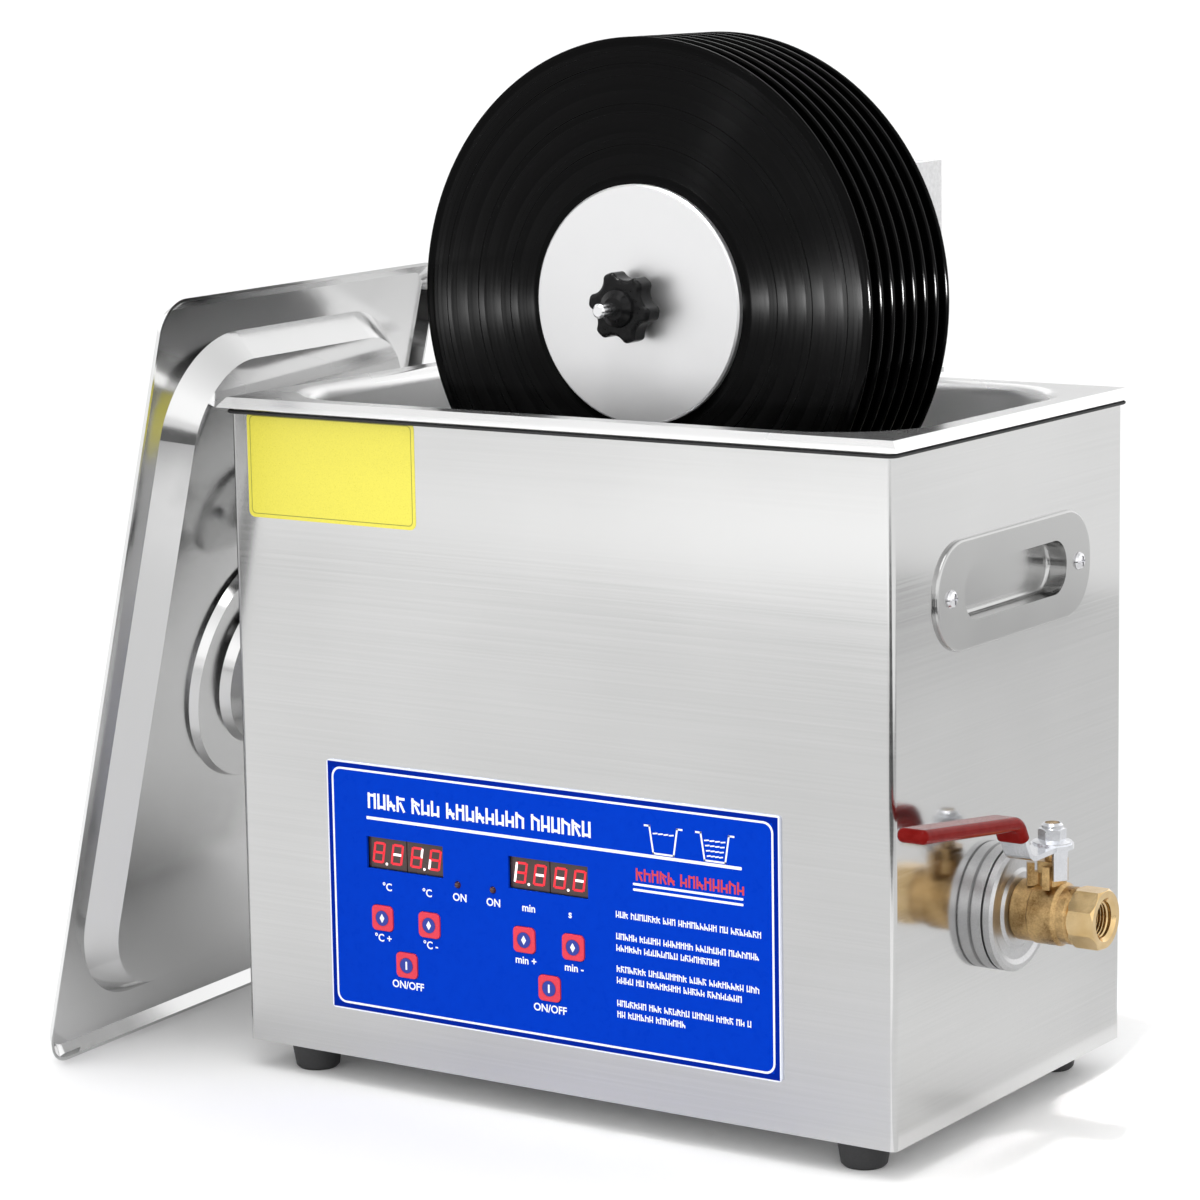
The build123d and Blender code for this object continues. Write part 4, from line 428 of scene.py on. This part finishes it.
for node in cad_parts.values():
    for slot in node.material_slots:
        slot.material = finishes[slot.material.name.split(".")[0]].material

white_ink = printed("white_ink", (0.88, 0.9, 0.94))
blue_ink = printed("blue_ink", (0.01, 0.03, 0.3))
red_ink = printed("red_ink", (0.6, 0.03, 0.05))
yellow_film = printed("yellow_film", (0.74, 0.67, 0.075), 0.32)
olive_ink = printed("olive_ink", (0.28, 0.27, 0.04))
segment_red = glowing("segment_red", (0.5, 0.01, 0.02), (0.8, 0.01, 0.03), 0.75)
segment_bright = glowing("segment_bright", (0.9, 0.8, 0.8), (1.0, 0.75, 0.75), 1.1)


# ---------------------------------------------------------------- making pieces


def set_down(name, bm, paint):
    """Turns a finished bmesh into an object of the scene, dressed in one paint."""
    mesh = bpy.data.meshes.new(name)
    bm.to_mesh(mesh)
    bm.free()
    mesh.materials.append(paint.material)
    made = bpy.data.objects.new(name, mesh)
    bpy.context.scene.collection.objects.link(made)
    return made


def piece(name, bm, paint, body):
    """Makes one piece that was drawn from the casing's middle, and lets it ride on its body."""
    bmesh.ops.recalc_face_normals(bm, faces=bm.faces)
    made = set_down(name, bm, paint)
    made.data.transform(Matrix.Translation(MIDDLE * MM))
    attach(made, body)


def join_rings(bm, first, second):
    """Closes the band between two rings with as many points each."""
    for i in range(len(first)):
        j = (i + 1) % len(first)
        bm.faces.new((first[i], first[j], second[j], second[i]))


def upright_ring(bm, outline, y):
    return [bm.verts.new((x * MM, y * MM, z * MM)) for x, z in outline]


def flat_prism(bm, outline, face_y, thickness=INK):
    """An outline of (x, z), standing thickness proud of face_y towards the front."""
    front, back = (upright_ring(bm, outline, y) for y in (face_y - thickness, face_y))
    bm.faces.new(front)
    join_rings(bm, front, back)


def flat_frame(bm, outer, inner, face_y, thickness=INK):
    """The band between two outlines with as many points each."""
    front, back = face_y - thickness, face_y
    lines = ((outer, back), (outer, front), (inner, front), (inner, back))
    rings = [upright_ring(bm, line, y) for line, y in lines]
    for first, second in zip(rings, rings[1:]):
        join_rings(bm, first, second)


def rounded(x, z, width, height, radius, steps=6):
    """A rounded rectangle's outline about (x, z)."""
    points = []
    for turn, (side_x, side_z) in enumerate(((1, 1), (-1, 1), (-1, -1), (1, -1))):
        corner_x = x + side_x * (width / 2 - radius)
        corner_z = z + side_z * (height / 2 - radius)
        for step in range(steps + 1):
            angle = math.radians(90 * (turn + step / steps))
            across, up = radius * math.cos(angle), radius * math.sin(angle)
            points.append((corner_x + across, corner_z + up))
    return points


def ring_line(x, z, radius, count=32):
    angles = [2 * math.pi * i / count for i in range(count)]
    return [(x + radius * math.cos(angle), z + radius * math.sin(angle)) for angle in angles]


def stroke(start, end, width):
    """A straight line's outline, with square ends."""
    along = Vector((end[0] - start[0], end[1] - start[1])).normalized() * width / 2
    side = Vector((-along.y, along.x))
    a, b = Vector(start) - along, Vector(end) + along
    return [tuple(point) for point in (a + side, a - side, b - side, b + side)]


def on_panel(outline):
    return [(x + PANEL_MIDDLE[0], z + PANEL_MIDDLE[1]) for x, z in outline]


def lettering(words, size, face_y):
    """Joins short printed marks, each (text, x, z), set about their middles."""
    swell = 0.09
    joined = bmesh.new()
    for text, x, z in words:
        curve = bpy.data.curves.new("mark", "FONT")
        curve.body = text
        curve.size = size * MM
        curve.align_x = "CENTER"
        curve.align_y = "CENTER"
        curve.extrude = INK * MM / 2
        curve.offset = swell * MM
        curve.resolution_u = 3
        holder = bpy.data.objects.new("mark", curve)
        mesh = bpy.data.meshes.new_from_object(holder)
        place = Matrix.Translation((x * MM, (face_y - INK / 2) * MM, z * MM))
        mesh.transform(place @ Matrix.Rotation(math.pi / 2, 4, "X"))
        joined.from_mesh(mesh)
        bpy.data.objects.remove(holder)
        bpy.data.curves.remove(curve)
        bpy.data.meshes.remove(mesh)
    return joined


# ---------------------------------------------------------------- control panel

SMALL_MARKS = (
    ("°C", -82.1, 1.9), ("°C", -61.1, 1.9), ("ON", -44.1, 2.0),
    ("ON", -26.8, 2.0), ("min", -8.9, 1.9), ("s", 11.9, 1.9),
    ("°C +", -84.9, -20.7), ("°C -", -59.9, -20.7),
    ("min +", -10.8, -20.7), ("min -", 13.4, -20.7),
    ("ON/OFF", -72.3, -39.8), ("ON/OFF", 1.0, -39.8),
)

# The middle and right end of each text line
TEXT_LINES = (
    (5.0, 104.7), (-4.2, 104.6), (-9.1, 84.4), (-17.9, 104.0),
    (-22.7, 96.5), (-32.4, 100.0), (-37.1, 69.3),
)


def word_marks(bm, left, right, middle, height, weight, draw):
    """A printed line with the rhythm of words, in strokes that spell nothing."""
    layer_rise = 0.012
    wide = 0.56 * height
    mark_gap, word_gap = 0.14 * height, 0.5 * height
    x, count = left, draw.randint(2, 8)
    low, high = middle - height / 2, middle + height / 2
    while x + wide < right:
        far_top = high - height * draw.choice((0.0, 0.0, 0.35))
        bar = low + height * draw.choice((0.08, 0.3, 0.68, 0.92))
        strokes = [
            ((x, low), (x, high)),
            ((x + wide, low), (x + wide, far_top)),
            ((x, bar), (x + wide, min(bar, far_top))),
        ]
        if draw.random() < 0.35:
            strokes[1] = ((x + wide, low), (x + wide * 0.45, low + 0.55 * height))
        for layer, (start, end) in enumerate(strokes):
            outline = on_panel(stroke(start, end, weight))
            flat_prism(bm, outline, PANEL_FACE, INK + layer_rise * layer)
        count -= 1
        x += wide + weight + mark_gap
        if count == 0:
            x += word_gap
            count = draw.randint(2, 9)


def tank_sign(bm, x, z, rows):
    """An open tank in outline about (x, z) on the panel, with rows of ripples."""
    line, ripple_line = 0.75, 0.55
    half = [(8.9, 5.6), (6.7, 5.6), (4.9, -5.6)]
    corners = [(-across, up) for across, up in half] + half[::-1]
    for start, end in zip(corners, corners[1:]):
        begin, finish = ((x + across, z + up) for across, up in (start, end))
        flat_prism(bm, on_panel(stroke(begin, finish, line)), PANEL_FACE)
    for row in range(rows):
        level = z + 2.6 - 2.1 * row
        reach = 5.2 - 0.45 * row
        for part in range(4):
            centre = x + reach * (part / 2 - 0.75)
            begin, finish = (centre - reach / 6, level), (centre + reach / 6, level + 0.25)
            flat_prism(bm, on_panel(stroke(begin, finish, ripple_line)), PANEL_FACE)


def print_panel():
    """The panel's frame, rules, signs, rows of strokes and small marks."""
    draw = random.Random(7)
    ink = bmesh.new()
    width, height = PANEL_SIZE
    outer = rounded(0.0, 0.0, width - 5.4, height - 5.4, 4.6)
    inner = rounded(0.0, 0.0, width - 7.2, height - 7.2, 3.8)
    flat_frame(ink, on_panel(outer), on_panel(inner), PANEL_FACE)
    rules = ((1.6, 31.2, 187.6, 1.3), (69.6, 18.7, 52.8, 1.0), (69.6, 16.4, 52.8, 1.0))
    for rule in rules:
        flat_prism(ink, on_panel(rounded(*rule, radius=0.3, steps=2)), PANEL_FACE)
    word_marks(ink, -90.7, 23.5, 38.8, 5.6, 1.15, draw)
    for middle, right in TEXT_LINES:
        word_marks(ink, 34.8, right, middle, 2.3, 0.46, draw)
    tank_sign(ink, 58.2, 38.2, rows=1)
    tank_sign(ink, 82.8, 38.2, rows=4)
    piece("panel_white_printing", ink, white_ink, "base")

    heading = bmesh.new()
    word_marks(heading, 45.1, 96.3, 22.9, 4.3, 0.85, draw)
    piece("panel_red_printing", heading, red_ink, "base")

    words = [(text, x + PANEL_MIDDLE[0], z + PANEL_MIDDLE[1]) for text, x, z in SMALL_MARKS]
    piece("panel_marks", lettering(words, 4.6, PANEL_FACE), white_ink, "base")


def print_keys():
    """Each key carries a round blue spot and a white mark on it, and they move with it."""
    thin = 0.04
    half_width, half_height = 1.25, 2.0
    for body, (across, up, mark) in KEYS.items():
        x, z = across + PANEL_MIDDLE[0], up + PANEL_MIDDLE[1]
        spot = bmesh.new()
        flat_prism(spot, ring_line(x, z, 3.3), KEY_FACE, thin)
        piece(f"{body}_ring", spot, blue_ink, body)
        if mark == "bar":
            outline = rounded(x, z, 0.9, 3.6, 0.3, 2)
        else:
            outline = [(x - half_width, z), (x, z - half_height)]
            outline += [(x + half_width, z), (x, z + half_height)]
        white = bmesh.new()
        flat_prism(white, outline, KEY_FACE - thin, thin)
        piece(f"{body}_mark", white, white_ink, body)


# Each bar's two ends in a digit one wide and two high
BARS = {
    "top": ((-0.5, 1.0), (0.5, 1.0)),
    "upper_right": ((0.5, 1.0), (0.5, 0.0)),
    "lower_right": ((0.5, 0.0), (0.5, -1.0)),
    "bottom": ((0.5, -1.0), (-0.5, -1.0)),
    "lower_left": ((-0.5, -1.0), (-0.5, 0.0)),
    "upper_left": ((-0.5, 0.0), (-0.5, 1.0)),
    "middle": ((-0.5, 0.0), (0.5, 0.0)),
}

# The bars that shine brightest, by digit from the left
BRIGHT_BARS = (
    (), ("middle",), ("upper_right",), ("lower_left",),
    ("upper_left", "lower_left"), ("middle",), ("middle",), ("middle",),
)

DISPLAY_MIDDLES = (-72.5, 1.0)
DIGIT_PLACES = (-14.7, -5.1, 5.1, 14.7)


def light_digits():
    """Sloping seven-bar digits, four on each display, with the points that part them."""
    level, digit_width, half_height, slope = 16.2, 5.0, 4.1, 0.62
    bar_width, proud = 1.05, 0.06
    short_across, short_up = 0.16, 0.1
    point_x, point_z, point_radius = 3.9, 11.6, 0.62
    dull, bright = bmesh.new(), bmesh.new()
    for digit, bright_bars in enumerate(BRIGHT_BARS):
        display, place = divmod(digit, len(DIGIT_PLACES))
        centre = DISPLAY_MIDDLES[display] + DIGIT_PLACES[place]
        for name, bar in BARS.items():
            ends = []
            for (u, v), (other_u, other_v) in (bar, bar[::-1]):
                u += (other_u - u) * short_across
                v += (other_v - v) * short_up
                ends.append((centre + digit_width * u + slope * v, level + half_height * v))
            lit = bright if name in bright_bars else dull
            flat_prism(lit, on_panel(stroke(*ends, bar_width)), DISPLAY_FACE, proud)
        if place % 2 == 0:
            point = ring_line(centre + point_x, point_z, point_radius, 12)
            flat_prism(bright, on_panel(point), DISPLAY_FACE, proud)
    piece("display_bars", dull, segment_red, "base")
    piece("display_bright_bars", bright, segment_bright, "base")


# ---------------------------------------------------------------- label


def stick_label():
    """A bare yellow film with a thin printed border."""
    x, z, width, height = -109.4, 267.5, 88.5, 45.3
    film_thickness, line_thickness = 0.12, 0.03
    film = bmesh.new()
    flat_prism(film, rounded(x, z, width, height, 3.0), CASE_FACE, film_thickness)
    piece("yellow_label", film, yellow_film, "base")
    line = bmesh.new()
    outer = rounded(x, z, width - 3.0, height - 3.0, 2.2)
    inner = rounded(x, z, width - 3.7, height - 3.7, 1.9)
    flat_frame(line, outer, inner, CASE_FACE - film_thickness, line_thickness)
    piece("yellow_label_border", line, olive_ink, "base")


# ---------------------------------------------------------------- records

RECORD_COUNT = 8
RECORD_PITCH = 9.0
RECORD_THICKNESS = 2.0

# One side of a record, as radius and depth below its highest face
LABEL_ZONE = ((3.65, 0.0), (49.6, 0.0), (50.3, 0.08), (51.0, 0.25), (53.4, 0.25), (53.6, 0.22))
OUTER_BEAD = (
    (107.0, 0.27), (107.6, 0.24), (108.5, 0.06), (109.1, 0.0),
    (109.8, 0.04), (110.25, 0.28), (110.45, 0.65),
)


def record_side():
    """The label zone, cut bands parted by gaps, and the bead at the rim."""
    band_start, band_pitch, band_count, cut_end = 54.2, 8.75, 6, 106.5
    band = ((0.0, 0.22), (8.1, 0.22), (8.25, 0.27), (8.6, 0.27))
    cut = []
    for number in range(band_count):
        start = band_start + band_pitch * number
        cut += [(start + width, depth) for width, depth in band]
    return [*LABEL_ZONE, *(point for point in cut if point[0] < cut_end), *OUTER_BEAD]


def lathe(bm, outline, steps=160):
    """Turns an outline of (radius, height), closed on itself, about Z."""
    rings = []
    for step in range(steps):
        angle = 2 * math.pi * step / steps
        across, along = math.cos(angle) * MM, math.sin(angle) * MM
        rings.append(
            [bm.verts.new((radius * across, radius * along, up * MM)) for radius, up in outline]
        )
    for first, second in zip(rings, rings[1:] + rings[:1]):
        join_rings(bm, first, second)


def press_records():
    """Eight pressed records on the spindle."""
    bm = bmesh.new()
    side = record_side()
    for number in range(RECORD_COUNT):
        front_face = RECORD_PITCH * number
        back_face = front_face + RECORD_THICKNESS
        front = [(radius, front_face + depth) for radius, depth in side]
        back = [(radius, back_face - depth) for radius, depth in reversed(side)]
        lathe(bm, front + back)
    bmesh.ops.recalc_face_normals(bm, faces=bm.faces)
    discs = set_down("pressed_records", bm, finishes["record_vinyl"])
    discs.data.shade_smooth()
    discs.data.set_sharp_from_angle(angle=math.radians(28))
    place = (Vector((SPINDLE[0], RECORD_FRONT, SPINDLE[1])) + MIDDLE) * MM
    discs.matrix_world = Matrix.Translation(place) @ Matrix.Rotation(-math.pi / 2, 4, "X")
    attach(discs, "record_stack")
    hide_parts("records")
    return discs


# ---------------------------------------------------------------- rim and drain valve


def paint_rim_shadow():
    """The dark bead that fills the joint between the casing and the rim's turned edge, a painted
    shadow under the rim.
    """
    section = ((0.05, 288.9), (1.6, 288.9), (2.2, 289.3), (2.2, 290.0), (1.8, 290.3), (0.05, 290.3))
    width, depth = CASE_SIZE
    bm = bmesh.new()
    loops = []
    for proud, level in section:
        outline = rounded(0.0, 0.0, width + 2 * proud, depth + 2 * proud, BEND_RADIUS + proud)
        loops.append([bm.verts.new((x * MM, y * MM, level * MM)) for x, y in outline])
    for lower, upper in zip(loops, loops[1:] + loops[:1]):
        join_rings(bm, lower, upper)
    # The black strip is a painted shadow under the rim's turned edge.
    piece("rim_shadow_strip", bm, finishes["foot_rubber"], "base")


def mouth_thread():
    """The female thread just inside the valve's mouth, running out at both ends."""
    pitch, turns, steps = 1.34, 7, 48
    wall, crest, half_base, start_depth = 7.45, 6.85, 0.42, 2.0
    bm = bmesh.new()
    rings = []
    for step in range(turns * steps + 1):
        turn = step / steps
        angle = 2 * math.pi * turn
        x = VALVE_END - start_depth - pitch * turn
        fade = min(1.0, turn, turns - turn)
        tip = wall - (wall - crest) * fade
        ring = []
        for along, radius in ((x + half_base, wall), (x, tip), (x - half_base, wall)):
            y = VALVE[0] + radius * math.cos(angle)
            z = VALVE[1] + radius * math.sin(angle)
            ring.append(bm.verts.new((along * MM, y * MM, z * MM)))
        rings.append(ring)
    for first, second in zip(rings, rings[1:]):
        for i in range(2):
            bm.faces.new((first[i], first[i + 1], second[i + 1], second[i]))
    piece("mouth_thread", bm, finishes["brass"], "base")


# ---------------------------------------------------------------- studio, in metres


def stand(made, place, facing):
    made.location = Vector(place) + MIDDLE * MM
    made.rotation_euler = facing.to_euler()


def softbox(name, place, aim, size, power, grid_angle):
    """A box lamp; its grid keeps the light within an angle in degrees."""
    light = bpy.data.lights.new(name, "AREA")
    light.shape = "RECTANGLE"
    light.size, light.size_y = size
    light.energy = power
    light.spread = math.radians(grid_angle)
    holder = bpy.data.objects.new(name, light)
    stand(holder, place, (Vector(aim) - Vector(place)).to_track_quat("-Z", "Y"))
    bpy.context.scene.collection.objects.link(holder)
    return holder


def card(name, place, aim, size, paint, turn=0.0):
    """A flat studio card that faces aim, turned in its own plane by an angle in degrees."""
    bm = bmesh.new()
    bmesh.ops.create_grid(bm, x_segments=1, y_segments=1, size=0.5)
    made = set_down(name, bm, paint)
    facing = (Vector(aim) - Vector(place)).to_track_quat("Z", "Y")
    stand(made, place, facing @ Quaternion((0.0, 0.0, 1.0), -math.radians(turn)))
    made.scale = (*size, 1.0)
    return made


def grey(level):
    return (level, level, level)


def card_paint(name, level):
    return Paint(name, grey(level), 0.9, Specular_IOR_Level=0.1)


def lay_floor():
    paint = Paint("pale_floor", grey(0.92), 0.75)
    paint.set(Base_Color=paint.blend(paint.noise(3.0), grey(0.915), grey(0.925)))
    card("floor", (0.0, 0.0, 0.0), (0.0, 0.0, 1.0), (120.0, 120.0), paint)


def lay_cards():
    """Cards seen only in the steel's reflections, where they paint reflected tones: shade on the
    floor beside and before the machine, a dark patch before the camera and a grey card behind; they
    neither cast shadows nor pass light on.
    """
    dark = Paint("dark_reflection", grey(0.02), 0.8)
    slate = card_paint("slate_card", 0.64)

    # A card's own sides run from -0.5 to 0.5
    beside = card_paint("side_floor_shade", 0.7)
    x, _, _ = beside.axes()
    # Painted shade on the floor beside the machine, seen only in the side's reflection: darkest
    # next to the casing.
    shade_fades_outwards = beside.spread(x, -0.48, -0.02)
    beside.set(Base_Color=beside.blend(shade_fades_outwards, grey(0.3), grey(0.69)))

    before = card_paint("front_floor_shade", 0.8)
    x, y, _ = before.axes()
    near_half, far_half = before.spread(y, -0.5, 0.0), before.spread(y, 0.0, 0.48)
    leftwards = before.spread(x, 0.16, -0.4)
    # Painted shade on the floor before the machine, seen only in the front's reflection: darker
    # towards the machine and to the left.
    shade = near_half * 0.3 + far_half * 0.4 + leftwards * 0.45
    before.set(Base_Color=before.blend(shade, grey(0.9), grey(0.55)))

    cards = (
        # A near black sheet on the floor before the camera, a painted dark reflection in the edges.
        card("camera_dark_reflection", (0.74, -1.0, 0.004), (0.74, -1.0, 1.0), (1.0, 1.2), dark, -34.0),
        card("side_floor_shade", (0.62, 0.45, 0.002), (0.62, 0.45, 1.0), (0.86, 1.5), beside),
        card("front_floor_shade", (-0.55, -0.72, 0.003), (-0.55, -0.72, 1.0), (1.4, 1.2), before),
        card("rear_card", (-1.15, 1.75, 0.62), (0.0, 0.0, 0.3), (1.9, 0.8), slate),
    )
    for made in cards:
        made.visible_camera = False
        made.visible_diffuse = False
        made.visible_shadow = False


def light_sky():
    """A white sky, dimmer overhead than along the horizon."""
    world = bpy.data.worlds.new("studio")
    world.use_nodes = True
    sky = Tree(world.node_tree)
    _, _, up = sky.parts(sky.node("ShaderNodeTexCoord"))
    strength = sky.spread(up, 0.35, 1.0, 1.5, 0.76)
    background = world.node_tree.nodes["Background"]
    sky.fill(background, {"Color": (1.0, 1.0, 1.0, 1.0), "Strength": strength})
    bpy.context.scene.world = world


def light_machine(discs):
    """Soft lamps on the floor and tank, and two low ones whose light fans out on the grooves."""
    softbox("floor_pool", (-0.5, -1.7, 1.5), (-0.5, -1.6, 0.0), (0.6, 0.6), 1.3, 58.0)
    softbox("overhead", (0.2, -0.95, 2.2), (0.15, -0.7, 0.0), (1.4, 1.4), 8.0, 120.0)
    softbox("tank_light", (0.12, -0.3, 1.7), (0.06, 0.02, 0.28), (0.3, 0.16), 0.24, 12.0)

    lit = bpy.data.collections.new("records_only")
    lit.objects.link(discs)
    spindle = (SPINDLE[0] * MM, 0.0, SPINDLE[1] * MM)
    for lamp in (
        softbox("left_groove_lamp", (-1.9, -0.63, 0.06), spindle, (0.5, 0.1), 90.0, 180.0),
        softbox("right_groove_lamp", (0.4, -1.97, 0.24), spindle, (0.5, 0.1), 110.0, 180.0),
    ):
        lamp.light_linking.receiver_collection = lit


def stand_camera():
    """The camera stands high in front of the right-hand corner."""
    yaw, pitch, roll = (math.radians(angle) for angle in (-34.093, 9.580, -0.957))
    level_x, level_y = math.sin(yaw), math.cos(yaw)
    ahead = Vector((level_x * math.cos(pitch), level_y * math.cos(pitch), -math.sin(pitch)))
    right = Vector((math.cos(yaw), -math.sin(yaw), 0.0))
    down = ahead.cross(right)
    across = math.cos(roll) * right - math.sin(roll) * down
    under = math.sin(roll) * right + math.cos(roll) * down
    data = bpy.data.cameras.new("camera")
    data.lens = 120.35
    data.sensor_width = 36.0
    camera = bpy.data.objects.new("camera", data)
    place = Matrix((across, -under, -ahead)).transposed().to_4x4()
    place.translation = Vector((0.92205, -1.42055, 0.49268)) + MIDDLE * MM
    camera.matrix_world = place
    bpy.context.scene.collection.objects.link(camera)
    bpy.context.scene.camera = camera


print_panel()
print_keys()
light_digits()
stick_label()
discs = press_records()
paint_rim_shadow()
mouth_thread()

lay_floor()
lay_cards()
light_sky()
light_machine(discs)
stand_camera()
bpy.context.scene.view_settings.view_transform = "Standard"
